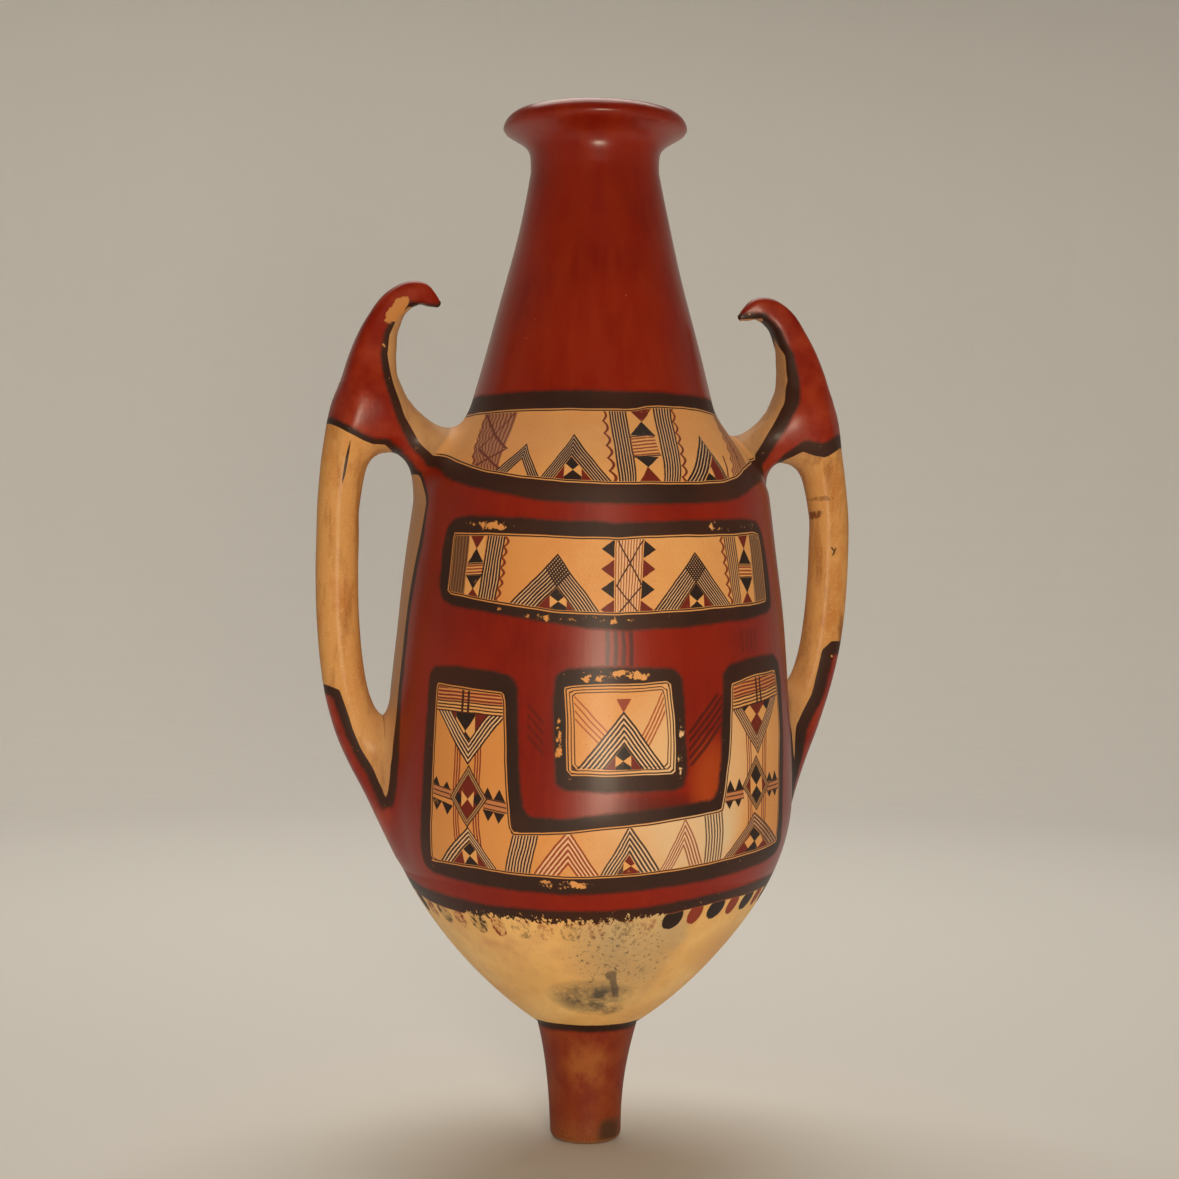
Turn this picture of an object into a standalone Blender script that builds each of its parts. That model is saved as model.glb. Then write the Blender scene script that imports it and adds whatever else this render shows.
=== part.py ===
"""A footed earthenware jar, built as one hollow fired piece.

A turned body on a narrow stub foot carries a tall tapering neck with a
flared lip. Two upright handles stand off the shoulder. Each one rises past
its bridge to the shoulder and ends in a horn that curls in to the neck.

Metres, +Z up. The origin is the centre of the foot's flat underside, X runs
through both handles, and -Y is the front.
"""

import math

import bmesh
import bpy

# Heights, stacked from the ground up
FOOT_HEIGHT = 0.0924
BELLY_RISE = 0.1725
SHOULDER_RISE = 0.235
COLLAR_RISE = 0.0716
NECK_RISE = 0.180
FLARE_RISE = 0.0345
LIP_RISE = 0.012

# Outer radii
FOOT_RADIUS = 0.0275
FOOT_EDGE = 0.0035
ANKLE_RADIUS = 0.0393
BELLY_RADIUS = 0.1588
SHOULDER_RADIUS = 0.138
COLLAR_RADIUS = 0.0936
NECK_RADIUS = 0.0502
LIP_RADIUS = 0.0718

# The lip rolls over its outer edge to a narrow flat ring around the mouth
LIP_ROLL = 0.015
LIP_FLAT = 0.0053

# Thickness of the clay
WALL = 0.008
FLOOR = 0.016

# Handles: the clear gap beside the shoulder and the bend down to the root
# differ a little from side to side, as both were rolled by hand
LEFT_GAP = 0.0448
LEFT_BEND = 3.25
RIGHT_GAP = 0.0430
RIGHT_BEND = 2.30
GRIP_WIDTH = 0.032
HANDLE_DEPTH = 0.030
BRIDGE_RISE = 0.048
BRIDGE_WIDTH = 0.035
ROOT_DROP = 0.023
HORN_RISE = 0.1015
HORN_REACH = 0.0746
HORN_WIDTH = 0.0425

# Fineness of the solid
TURN_STEPS = 56
CAVITY_STEPS = 44
MERGE = 0.00001

# Shapes of the curves between the sizes above
BELLY_FULLNESS = 1.78
BELLY_START = 0.925
SHOULDER_DROOP = 1.6
COLLAR_END_SLOPE = -0.263
NECK_END_SLOPE = -0.1665
FLARE_DELAY = 2.66

# Grip, as shares of its run from the bridge down to the root
GRIP_START = 0.075
ROOT_BEND_START = 0.274
TOP_LEAN = 0.0063

# Horn centre line from tip to bridge: share of the reach inwards, share of
# the rise, and share of the full horn width
HORN_KNOTS = (
    (1.01, 0.955, 0.14),
    (0.96, 0.976, 0.25),
    (0.81, 1.026, 0.43),
    (0.61, 0.967, 0.50),
    (0.45, 0.788, 0.60),
    (0.37, 0.607, 0.76),
    (0.325, 0.428, 0.91),
    (0.30, 0.276, 1.02),
    (0.18, 0.065, 0.91),
)

Z_ANKLE = FOOT_HEIGHT
Z_BELLY = Z_ANKLE + BELLY_RISE
Z_SHOULDER = Z_BELLY + SHOULDER_RISE
Z_COLLAR = Z_SHOULDER + COLLAR_RISE
Z_NECK = Z_COLLAR + NECK_RISE
Z_FLARE = Z_NECK + FLARE_RISE
Z_TOP = Z_FLARE + LIP_RISE
RING_RADIUS = LIP_RADIUS - LIP_ROLL
MOUTH_RADIUS = RING_RADIUS - LIP_FLAT


def smooth_step(t):
    """Rise from 0 to 1 with level ends."""
    return t * t * (3.0 - 2.0 * t)


def hermite(t, start, end, start_slope, end_slope):
    """Cubic from start to end, whose slopes are given for the whole span."""
    return (
        (2.0 * t**3 - 3.0 * t**2 + 1.0) * start
        + (t**3 - 2.0 * t**2 + t) * start_slope
        + (3.0 * t**2 - 2.0 * t**3) * end
        + (t**3 - t**2) * end_slope
    )


def outer_radius(z):
    """Radius of the turned outside at height z, above the foot's edge."""
    if z <= Z_ANKLE:
        t = max(0.0, (z - FOOT_EDGE) / (Z_ANKLE - FOOT_EDGE))
        return FOOT_RADIUS + (ANKLE_RADIUS - FOOT_RADIUS) * t**2
    if z <= Z_BELLY:
        t = (z - Z_ANKLE) / BELLY_RISE
        swell = (1.0 - (1.0 - t) ** BELLY_FULLNESS) ** BELLY_START
        return ANKLE_RADIUS + (BELLY_RADIUS - ANKLE_RADIUS) * swell
    if z <= Z_SHOULDER:
        t = (z - Z_BELLY) / SHOULDER_RISE
        return BELLY_RADIUS - (BELLY_RADIUS - SHOULDER_RADIUS) * t**SHOULDER_DROOP
    if z <= Z_COLLAR:
        slope = -SHOULDER_DROOP * (BELLY_RADIUS - SHOULDER_RADIUS) / SHOULDER_RISE
        return hermite(
            (z - Z_SHOULDER) / COLLAR_RISE,
            SHOULDER_RADIUS,
            COLLAR_RADIUS,
            slope * COLLAR_RISE,
            COLLAR_END_SLOPE * COLLAR_RISE,
        )
    if z <= Z_NECK:
        return hermite(
            (z - Z_COLLAR) / NECK_RISE,
            COLLAR_RADIUS,
            NECK_RADIUS,
            COLLAR_END_SLOPE * NECK_RISE,
            NECK_END_SLOPE * NECK_RISE,
        )
    t = min(1.0, (z - Z_NECK) / FLARE_RISE)
    return NECK_RADIUS + (LIP_RADIUS - NECK_RADIUS) * smooth_step(t**FLARE_DELAY)


def inner_radius(z):
    """Radius of the hollow at height z: the wall is taken off square to it."""
    if z <= Z_NECK:
        step = 0.001
        slope = (outer_radius(z + step) - outer_radius(z - step)) / (2.0 * step)
        return outer_radius(z) - WALL * math.hypot(1.0, slope)
    t = (z - Z_NECK) / (Z_TOP - Z_NECK)
    throat = NECK_RADIUS - WALL
    return throat + (MOUTH_RADIUS - throat) * t**2


def spread(start, end, count):
    """Evenly spaced values from start to end, without the start itself."""
    return [start + (end - start) * i / count for i in range(1, count + 1)]


def outside_profile():
    """Points (radius, height) of the outside, from the top down to the foot."""
    points = [(0.0, Z_TOP), (RING_RADIUS, Z_TOP)]
    for angle in spread(0.5 * math.pi, 0.0, 5):
        points.append((RING_RADIUS + LIP_ROLL * math.cos(angle), Z_FLARE + LIP_RISE * math.sin(angle)))
    stretches = (
        (Z_FLARE, Z_NECK, 5),
        (Z_NECK, Z_COLLAR, 5),
        (Z_COLLAR, Z_SHOULDER, 7),
        (Z_SHOULDER, Z_BELLY, 4),
        (Z_BELLY, Z_ANKLE, 11),
        (Z_ANKLE, FOOT_EDGE, 3),
    )
    for high, low, count in stretches:
        points += [(outer_radius(z), z) for z in spread(high, low, count)]
    for angle in spread(0.0, 0.5 * math.pi, 2):
        flat = FOOT_RADIUS - FOOT_EDGE
        points.append((flat + FOOT_EDGE * math.cos(angle), FOOT_EDGE * (1.0 - math.sin(angle))))
    points.append((0.0, 0.0))
    return points


def cavity_profile():
    """Points (radius, height) of the hollow, from above the mouth to its floor."""
    z_floor = Z_ANKLE + FLOOR
    z_corner = z_floor + 0.25 * FLOOR
    above = Z_TOP + 0.5 * LIP_RADIUS
    mouth_slope = 2.0 * (MOUTH_RADIUS - NECK_RADIUS + WALL) / (Z_TOP - Z_NECK)
    points = [(0.0, above), (MOUTH_RADIUS + mouth_slope * (above - Z_TOP), above), (MOUTH_RADIUS, Z_TOP)]
    stretches = (
        (Z_TOP, Z_NECK, 4),
        (Z_NECK, Z_COLLAR, 3),
        (Z_COLLAR, Z_SHOULDER, 5),
        (Z_SHOULDER, Z_BELLY, 3),
        (Z_BELLY, z_corner, 7),
    )
    for high, low, count in stretches:
        points += [(inner_radius(z), z) for z in spread(high, low, count)]
    points.append((0.7 * inner_radius(z_corner), z_floor))
    points.append((0.0, z_floor))
    return points


def grip_place(gap):
    """Distance of the upright grip's centre line from the jar's axis."""
    return outer_radius(Z_SHOULDER) + gap + 0.5 * GRIP_WIDTH


def handle_line(gap, root_bend):
    """Centre line of one handle from horn tip to root: (x, z, width)."""
    x_grip = grip_place(gap)
    z_bridge = Z_SHOULDER + BRIDGE_RISE
    z_root = Z_BELLY - ROOT_DROP
    line = [
        (x_grip - HORN_REACH * inward, z_bridge + HORN_RISE * rise, HORN_WIDTH * width)
        for inward, rise, width in HORN_KNOTS
    ]
    reach = x_grip - (inner_radius(z_root) - 2.0 * WALL)
    for share in spread(GRIP_START, 1.0, 9):
        bend = max(0.0, (share - ROOT_BEND_START) / (1.0 - ROOT_BEND_START)) ** root_bend
        lean = TOP_LEAN * max(0.0, 1.0 - share / ROOT_BEND_START) ** 2
        line.append((x_grip - lean - reach * bend, z_bridge + (z_root - z_bridge) * share, GRIP_WIDTH))
    return line


def bridge_line(gap):
    """Centre line of the bridge from inside the shoulder into the handle."""
    x_grip = grip_place(gap)
    z_bridge = Z_SHOULDER + BRIDGE_RISE
    x_wall = outer_radius(z_bridge - BRIDGE_WIDTH) - 2.0 * WALL
    x_end = x_grip - 0.4 * GRIP_WIDTH
    return [
        (x_wall, z_bridge - 0.75 * BRIDGE_WIDTH, BRIDGE_WIDTH),
        (x_wall + 0.35 * (x_end - x_wall), z_bridge - 0.15 * BRIDGE_WIDTH, BRIDGE_WIDTH),
        (x_wall + 0.65 * (x_end - x_wall), z_bridge + 0.15 * BRIDGE_WIDTH, 1.25 * BRIDGE_WIDTH),
        (x_end, z_bridge + 0.35 * BRIDGE_WIDTH, 1.30 * BRIDGE_WIDTH),
    ]


def remove_old_objects():
    for old in list(bpy.data.objects):
        bpy.data.objects.remove(old, do_unlink=True)


def new_collection(name):
    collection = bpy.data.collections.new(name)
    bpy.context.scene.collection.children.link(collection)
    return collection


def clay(name, colour, roughness):
    """Fired clay with its slip: a plain Principled material."""
    material = bpy.data.materials.new(name)
    material.use_nodes = True
    shader = material.node_tree.nodes["Principled BSDF"]
    shader.inputs["Base Color"].default_value = (*colour, 1.0)
    shader.inputs["Roughness"].default_value = roughness
    shader.inputs["Metallic"].default_value = 0.0
    material.diffuse_color = (*colour, 1.0)
    return material


def turned(name, profile, steps, collection):
    """A solid turned from a profile that runs down its outer side."""
    mesh = bpy.data.meshes.new(name)
    edges = [(i, i + 1) for i in range(len(profile) - 1)]
    mesh.from_pydata([(radius, 0.0, z) for radius, z in profile], edges, [])
    turned_object = bpy.data.objects.new(name, mesh)
    collection.objects.link(turned_object)
    screw = turned_object.modifiers.new("Turn", "SCREW")
    screw.axis = "Z"
    screw.angle = 2.0 * math.pi
    screw.steps = steps
    screw.render_steps = steps
    screw.use_merge_vertices = True
    screw.merge_threshold = MERGE
    return turned_object


def rolled(name, line, spin, collection):
    """A roll of clay along a centre line, flattened a little front to back."""
    curve = bpy.data.curves.new(name + "_line", "CURVE")
    curve.dimensions = "3D"
    curve.bevel_depth = 0.5
    curve.bevel_resolution = 4
    curve.resolution_u = 3
    curve.use_fill_caps = True
    spline = curve.splines.new("BEZIER")
    spline.bezier_points.add(len(line) - 1)
    for point, (x, z, width) in zip(spline.bezier_points, line):
        point.co = (x, 0.0, z)
        point.radius = width
        point.handle_left_type = "AUTO"
        point.handle_right_type = "AUTO"
    guide = bpy.data.objects.new(name + "_line", curve)
    collection.objects.link(guide)
    bpy.context.view_layer.update()
    evaluated = guide.evaluated_get(bpy.context.evaluated_depsgraph_get())
    mesh = bpy.data.meshes.new_from_object(evaluated)
    bpy.data.objects.remove(guide, do_unlink=True)
    flatten = HANDLE_DEPTH / GRIP_WIDTH
    body = bmesh.new()
    body.from_mesh(mesh)
    bmesh.ops.remove_doubles(body, verts=body.verts, dist=MERGE)
    for vertex in body.verts:
        vertex.co.y *= flatten
    bmesh.ops.recalc_face_normals(body, faces=body.faces)
    body.to_mesh(mesh)
    body.free()
    roll = bpy.data.objects.new(name, mesh)
    roll.rotation_euler.z = spin
    collection.objects.link(roll)
    return roll


def cut_or_join(target, tool, operation):
    """Add an exact Boolean to the target and show its tool as a wire."""
    boolean = target.modifiers.new(tool.name, "BOOLEAN")
    boolean.operation = operation
    boolean.solver = "EXACT"
    boolean.object = tool
    tool.hide_render = True
    tool.display_type = "WIRE"


def build_jar(parts, tools):
    """Outside, two handles and their bridges joined, then hollowed out."""
    jar = turned("jar", outside_profile(), TURN_STEPS, parts)
    sides = (("right", 0.0, RIGHT_GAP, RIGHT_BEND), ("left", math.pi, LEFT_GAP, LEFT_BEND))
    for side, spin, gap, root_bend in sides:
        cut_or_join(jar, rolled("handle_" + side, handle_line(gap, root_bend), spin, tools), "UNION")
        cut_or_join(jar, rolled("bridge_" + side, bridge_line(gap), spin, tools), "UNION")
    cut_or_join(jar, turned("cavity", cavity_profile(), CAVITY_STEPS, tools), "DIFFERENCE")
    jar.data.materials.append(clay("painted_clay", (0.42, 0.16, 0.07), 0.5))
    return jar


def main():
    remove_old_objects()
    parts = new_collection("footed_jar")
    tools = new_collection("cutters")
    build_jar(parts, tools)


main()
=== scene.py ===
# %% [markdown]
# # A painted footed jar
#
# The real jar is hand built from coils of red clay, scraped thin, covered
# with a pale slip and a red slip, painted with fine brushes, rubbed with a
# pebble and fired in the open. This file makes it again in small steps:
# first the shape, then the coordinates that the painting is laid out in,
# then the slips and the brushwork, and last the light and the camera.
#
# Everything is in metres, with the foot's underside at the origin, the
# handles along X and the painted front facing -Y.

import math

import bmesh
import bpy
import numpy as np
from mathutils import Matrix, Vector


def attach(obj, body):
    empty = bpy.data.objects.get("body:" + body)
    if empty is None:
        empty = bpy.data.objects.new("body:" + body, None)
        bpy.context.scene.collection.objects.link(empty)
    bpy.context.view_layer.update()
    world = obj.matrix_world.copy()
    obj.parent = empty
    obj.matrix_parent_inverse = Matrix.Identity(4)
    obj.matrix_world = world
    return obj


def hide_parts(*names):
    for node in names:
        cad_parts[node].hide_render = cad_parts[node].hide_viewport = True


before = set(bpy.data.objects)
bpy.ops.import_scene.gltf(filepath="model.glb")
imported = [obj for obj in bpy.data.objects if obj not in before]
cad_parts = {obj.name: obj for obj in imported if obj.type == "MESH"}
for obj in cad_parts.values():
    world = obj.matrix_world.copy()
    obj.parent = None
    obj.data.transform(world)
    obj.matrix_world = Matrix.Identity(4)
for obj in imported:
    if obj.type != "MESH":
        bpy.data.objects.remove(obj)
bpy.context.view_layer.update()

# %% [markdown]
# ## The turned outline
#
# Seen from the side the jar is a stub foot, a swelling belly, a slowly
# drooping shoulder, a soft collar, a tapering neck and a flared lip. One
# could draw that with a curve by hand, but a few short formulas give the same
# line every time, and they can be read off at any height later on, when the
# painting needs to know where the clay is. The sizes are those of the model.

# %% Sizes of the body
FOOT_RADIUS, FOOT_EDGE, ANKLE_RADIUS = 0.0275, 0.0065, 0.0393
BELLY_RADIUS, SHOULDER_RADIUS, COLLAR_RADIUS = 0.1588, 0.138, 0.0936
NECK_RADIUS, LIP_RADIUS, RING_RADIUS, MOUTH_RADIUS = 0.0502, 0.0718, 0.0568, 0.0515
WALL, FLOOR, LIP_RISE = 0.008, 0.016, 0.012
Z_ANKLE, Z_BELLY, Z_SHOULDER = 0.0924, 0.2649, 0.4999
Z_COLLAR, Z_NECK, Z_FLARE, Z_TOP = 0.5715, 0.7515, 0.786, 0.798
COLLAR_SLOPE, NECK_SLOPE = -0.263, -0.1665
BELLY_POWER, BELLY_FULLNESS, DROOP_POWER, FLARE_POWER = 1.78, 0.925, 1.6, 2.66
LIP_ROLL = 0.015


def smooth_step(t):
    """Three t squared less two t cubed: rises from 0 to 1 with level ends."""
    t = np.clip(t, 0.0, 1.0)
    return t * t * (3.0 - 2.0 * t)


def cubic_join(t, start, end, start_slope, end_slope):
    """Cubic from start to end, with the slopes given for the whole span."""
    t = np.clip(t, 0.0, 1.0)
    return (
        (2.0 * t**3 - 3.0 * t**2 + 1.0) * start
        + (t**3 - 2.0 * t**2 + t) * start_slope
        + (3.0 * t**2 - 2.0 * t**3) * end
        + (t**3 - t**2) * end_slope
    )


# %% Radius of the outside and of the hollow at any height
def outer_radius(z):
    """Stub: a square. Belly: one less a falling power, itself raised to a
    power. Shoulder: a drooping power. Collar and neck: cubics. Lip: a late
    smooth step."""
    z = np.asarray(z, dtype=float)
    foot_share = np.clip((z - FOOT_EDGE) / (Z_ANKLE - FOOT_EDGE), 0.0, 1.0)
    stub = FOOT_RADIUS + (ANKLE_RADIUS - FOOT_RADIUS) * foot_share**2
    belly_share = np.clip((z - Z_ANKLE) / (Z_BELLY - Z_ANKLE), 0.0, 1.0)
    swell = (1.0 - (1.0 - belly_share) ** BELLY_POWER) ** BELLY_FULLNESS
    belly = ANKLE_RADIUS + (BELLY_RADIUS - ANKLE_RADIUS) * swell
    droop = np.clip((z - Z_BELLY) / (Z_SHOULDER - Z_BELLY), 0.0, 1.0)
    shoulder = BELLY_RADIUS - (BELLY_RADIUS - SHOULDER_RADIUS) * droop**DROOP_POWER
    slope = -DROOP_POWER * (BELLY_RADIUS - SHOULDER_RADIUS) / (Z_SHOULDER - Z_BELLY)
    rise = Z_COLLAR - Z_SHOULDER
    share = (z - Z_SHOULDER) / rise
    collar = cubic_join(share, SHOULDER_RADIUS, COLLAR_RADIUS, slope * rise, COLLAR_SLOPE * rise)
    rise = Z_NECK - Z_COLLAR
    share = (z - Z_COLLAR) / rise
    neck = cubic_join(share, COLLAR_RADIUS, NECK_RADIUS, COLLAR_SLOPE * rise, NECK_SLOPE * rise)
    late = np.clip((z - Z_NECK) / (Z_FLARE - Z_NECK), 0.0, 1.0) ** FLARE_POWER
    lip = NECK_RADIUS + (LIP_RADIUS - NECK_RADIUS) * smooth_step(late)
    return np.select(
        [z <= Z_ANKLE, z <= Z_BELLY, z <= Z_SHOULDER, z <= Z_COLLAR, z <= Z_NECK],
        [stub, belly, shoulder, collar, neck],
        lip,
    )


def outer_slope(z):
    """Change of radius with height, from two samples a millimetre either side."""
    return (outer_radius(z + 0.001) - outer_radius(z - 0.001)) / 0.002


def inner_radius(z):
    """The outside less the wall, taken square to it; the throat opens as a square."""
    z = np.asarray(z, dtype=float)
    wall_inside = outer_radius(z) - WALL * np.hypot(1.0, outer_slope(z))
    share = np.clip((z - Z_NECK) / (Z_TOP - Z_NECK), 0.0, 1.0)
    throat = NECK_RADIUS - WALL + (MOUTH_RADIUS - NECK_RADIUS + WALL) * share**2
    return np.where(z <= Z_NECK, wall_inside, throat)


print("belly", float(outer_radius(Z_BELLY)), "neck", float(outer_radius(Z_NECK)))

# %% [markdown]
# ## From an outline to a surface
#
# A turned pot is its outline carried round the axis: a grid whose rows
# follow the outline and whose columns go round. The whole grid is worked out
# as one array. The last column joins the first, and the rows that end on the
# axis are merged to a point, so the surface is closed.

# %% Put a grid of points into a mesh
COLUMNS = 240


def grid_faces(rows, columns):
    """Four corners of every face of a grid whose columns wrap round."""
    row, column = np.meshgrid(np.arange(rows - 1), np.arange(columns), indexing="ij")
    after = (column + 1) % columns
    corners = [row * columns + column, row * columns + after]
    corners += [(row + 1) * columns + after, (row + 1) * columns + column]
    return np.stack(corners, axis=-1).reshape(-1, 4)


def surface(name, grid):
    """Object from a grid of points of shape (rows, columns, 3)."""
    rows, columns = grid.shape[:2]
    mesh = bpy.data.meshes.new(name)
    mesh.from_pydata(grid.reshape(-1, 3).tolist(), [], grid_faces(rows, columns).tolist())
    work = bmesh.new()
    work.from_mesh(mesh)
    bmesh.ops.remove_doubles(work, verts=work.verts, dist=1e-6)
    bmesh.ops.dissolve_degenerate(work, edges=work.edges, dist=1e-7)
    bmesh.ops.recalc_face_normals(work, faces=work.faces)
    work.to_mesh(mesh)
    work.free()
    made = bpy.data.objects.new(name, mesh)
    bpy.context.scene.collection.objects.link(made)
    return made


def turned(line, columns=COLUMNS):
    """Grid from an outline: (radius cos angle, radius sin angle, height)."""
    angle = np.arange(columns) * (2.0 * math.pi / columns)
    radius, height = line[:, :1], line[:, 1:]
    return np.stack([radius * np.cos(angle), radius * np.sin(angle), height * np.ones(columns)], axis=-1)


# %% Outline of the outside, from a plug in the throat over the lip to the foot
PLUG_Z = Z_TOP - 0.042
CROWN = 0.0040


def along(low, high, count):
    """Evenly spaced values without the first one."""
    return np.linspace(low, high, count + 1)[1:]


def outside_line():
    """Up the throat, round the crown and the rolled lip, down to the foot."""
    throat_z = np.linspace(PLUG_Z, Z_TOP - CROWN, 9)
    parts = [[(0.0, PLUG_Z)], np.column_stack([inner_radius(throat_z), throat_z])]
    turn = along(0.0, 0.5 * math.pi, 5)
    throat_top = float(inner_radius(Z_TOP - CROWN))
    crown_width = MOUTH_RADIUS + CROWN - throat_top
    crown = throat_top + crown_width * (1 - np.cos(turn))
    parts.append(np.column_stack([crown, Z_TOP - CROWN * (1 - np.sin(turn))]))
    turn = np.linspace(0.5 * math.pi, 0.0, 12)
    parts.append(np.column_stack([RING_RADIUS + LIP_ROLL * np.cos(turn), Z_FLARE + LIP_RISE * np.sin(turn)]))
    stretches = (
        (Z_FLARE, Z_NECK, 16),
        (Z_NECK, Z_COLLAR, 36),
        (Z_COLLAR, Z_SHOULDER, 20),
        (Z_SHOULDER, Z_BELLY, 54),
        (Z_BELLY, Z_ANKLE, 46),
        (Z_ANKLE, FOOT_EDGE, 20),
    )
    for high, low, count in stretches:
        z = along(high, low, count)
        parts.append(np.column_stack([outer_radius(z), z]))
    turn = along(0.0, 0.5 * math.pi, 5)
    flat = FOOT_RADIUS - FOOT_EDGE
    parts.append(np.column_stack([flat + FOOT_EDGE * np.cos(turn), FOOT_EDGE * (1 - np.sin(turn))]))
    parts.append([(0.6 * flat, 0.0), (0.25 * flat, 0.0), (0.0, 0.0)])
    return np.concatenate([np.asarray(part, dtype=float) for part in parts])


def inside_line():
    """From the plug's ring down the hollow to the middle of its floor."""
    z = np.linspace(PLUG_Z, Z_NECK, 3)
    z = np.concatenate([z, along(Z_NECK, Z_SHOULDER, 16), along(Z_SHOULDER, Z_ANKLE + 1.25 * FLOOR, 28)])
    z_floor = Z_ANKLE + FLOOR
    end = float(inner_radius(z[-1]))
    floor = [(0.88 * end, z_floor + 0.0012), (0.7 * end, z_floor), (0.35 * end, z_floor), (0.0, z_floor)]
    return np.concatenate([np.column_stack([inner_radius(z), z]), floor])


body = surface("painted_jar", turned(outside_line()))
print("outside", len(body.data.vertices), "points")

# %% [markdown]
# ## Handles rolled along a path
#
# Each handle is a roll of clay. It starts as a thin horn that curls towards
# the neck, thickens where the bridge joins it to the shoulder, and runs down
# as an even grip to its root on the belly. A roll is a section carried along
# a path: at each point of the path the section's width is known, and the
# section itself goes from round on the grip to squarish on the horn, where
# the potter pressed the inner side flat. The path is a cubic through a few
# knots, so it bends without corners.

# %% Knots of the two handles
GRIP_WIDTH, FLATTENING, BRIDGE_WIDTH = 0.032, 0.9375, 0.035
Z_BRIDGE, Z_ROOT = 0.548, 0.2419
HORN_REACH, HORN_RISE, HORN_WIDTH = 0.0746, 0.1015, 0.0425
LEAN, BEND_START, FIRST_GRIP_KNOT = 0.0063, 0.274, 0.075
SIDES = {"right": (1.0, 0.0430, 2.30), "left": (-1.0, 0.0448, 3.25)}
HORN_KNOTS = np.array(
    [
        (1.01, 0.955, 0.14),
        (0.96, 0.976, 0.25),
        (0.81, 1.026, 0.43),
        (0.61, 0.967, 0.50),
        (0.45, 0.788, 0.60),
        (0.37, 0.607, 0.76),
        (0.325, 0.428, 0.91),
        (0.30, 0.276, 1.02),
        (0.18, 0.065, 0.91),
    ]
)


def grip_place(gap):
    """Distance of the grip's centre line from the jar's axis."""
    return float(outer_radius(Z_SHOULDER)) + gap + 0.5 * GRIP_WIDTH


def handle_knots(gap, root_bend):
    """Knots (x, z, width) from the horn's tip to the root: the grip leans in
    as a square near the top and bends in as a power towards the root."""
    x_grip = grip_place(gap)
    inward, rise, width = HORN_KNOTS.T
    horn = np.column_stack([x_grip - HORN_REACH * inward, Z_BRIDGE + HORN_RISE * rise, HORN_WIDTH * width])
    share = along(FIRST_GRIP_KNOT, 1.0, 9)
    bend = np.clip((share - BEND_START) / (1.0 - BEND_START), 0.0, 1.0) ** root_bend
    lean = LEAN * np.clip(1.0 - share / BEND_START, 0.0, 1.0) ** 2
    reach = x_grip - (float(inner_radius(Z_ROOT)) - 2.0 * WALL)
    grip = np.column_stack(
        [x_grip - lean - reach * bend, Z_BRIDGE + (Z_ROOT - Z_BRIDGE) * share, np.full(9, GRIP_WIDTH)]
    )
    return np.concatenate([horn, grip])


def bridge_knots(gap):
    """Knots (x, z, width) of the bridge from inside the shoulder to the grip."""
    x_wall = float(outer_radius(Z_BRIDGE - BRIDGE_WIDTH)) - 2.0 * WALL
    x_end = grip_place(gap) - 0.4 * GRIP_WIDTH
    share = np.array([0.0, 0.35, 0.65, 1.0])
    lift = np.array([-0.75, -0.15, 0.15, 0.35])
    width = np.array([1.0, 1.0, 1.25, 1.30])
    x = x_wall + share * (x_end - x_wall)
    return np.column_stack([x, Z_BRIDGE + lift * BRIDGE_WIDTH, width * BRIDGE_WIDTH])


# %% A smooth path through knots
PULL = 0.39


def smooth_path(knots, count):
    """Each span is a cubic that leaves its knots along the mean direction of
    the spans beside them, pulled that way for a share of its length; the
    result is spaced evenly."""
    place = knots[:, :2]
    step = np.diff(place, axis=0)
    length = np.linalg.norm(step, axis=1, keepdims=True)
    unit = step / length
    aim = np.concatenate([unit[:1], unit[:-1] + unit[1:], unit[-1:]])
    aim /= np.linalg.norm(aim, axis=1, keepdims=True)
    t = np.linspace(0.0, 1.0, 25)[None, :, None]
    a, d = place[:-1, None], place[1:, None]
    b = a + PULL * (length * aim[:-1])[:, None]
    c = d - PULL * (length * aim[1:])[:, None]
    points = (1 - t) ** 3 * a + 3 * (1 - t) ** 2 * t * b + 3 * (1 - t) * t**2 * c + t**3 * d
    swell = np.gradient(knots[:, 2])
    wide = cubic_join(t[..., 0], knots[:-1, 2:], knots[1:, 2:], swell[:-1, None], swell[1:, None])
    points = np.concatenate([points[:, :-1].reshape(-1, 2), place[-1:]])
    wide = np.concatenate([wide[:, :-1].reshape(-1), knots[-1:, 2]])
    run = np.concatenate([[0.0], np.cumsum(np.linalg.norm(np.diff(points, axis=0), axis=1))])
    even = np.linspace(0.0, run[-1], count)
    spaced = [np.interp(even, run, values) for values in (points[:, 0], points[:, 1], wide)]
    return np.column_stack(spaced), even


def outward_of(path):
    """Unit vector in the handle's plane, square to the path, away from the neck."""
    ahead = np.gradient(path[:, :2], axis=0)
    ahead /= np.linalg.norm(ahead, axis=1, keepdims=True)
    return np.column_stack([-ahead[:, 1], ahead[:, 0]]), ahead


def section_power(z):
    """About 2 is an oval, about 3 squarish: the horn above the bridge is pressed."""
    return 2.1 + 1.1 * smooth_step((z - 0.535) / 0.05)


# %% Carry the section along the path
ROUND = 40


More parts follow.
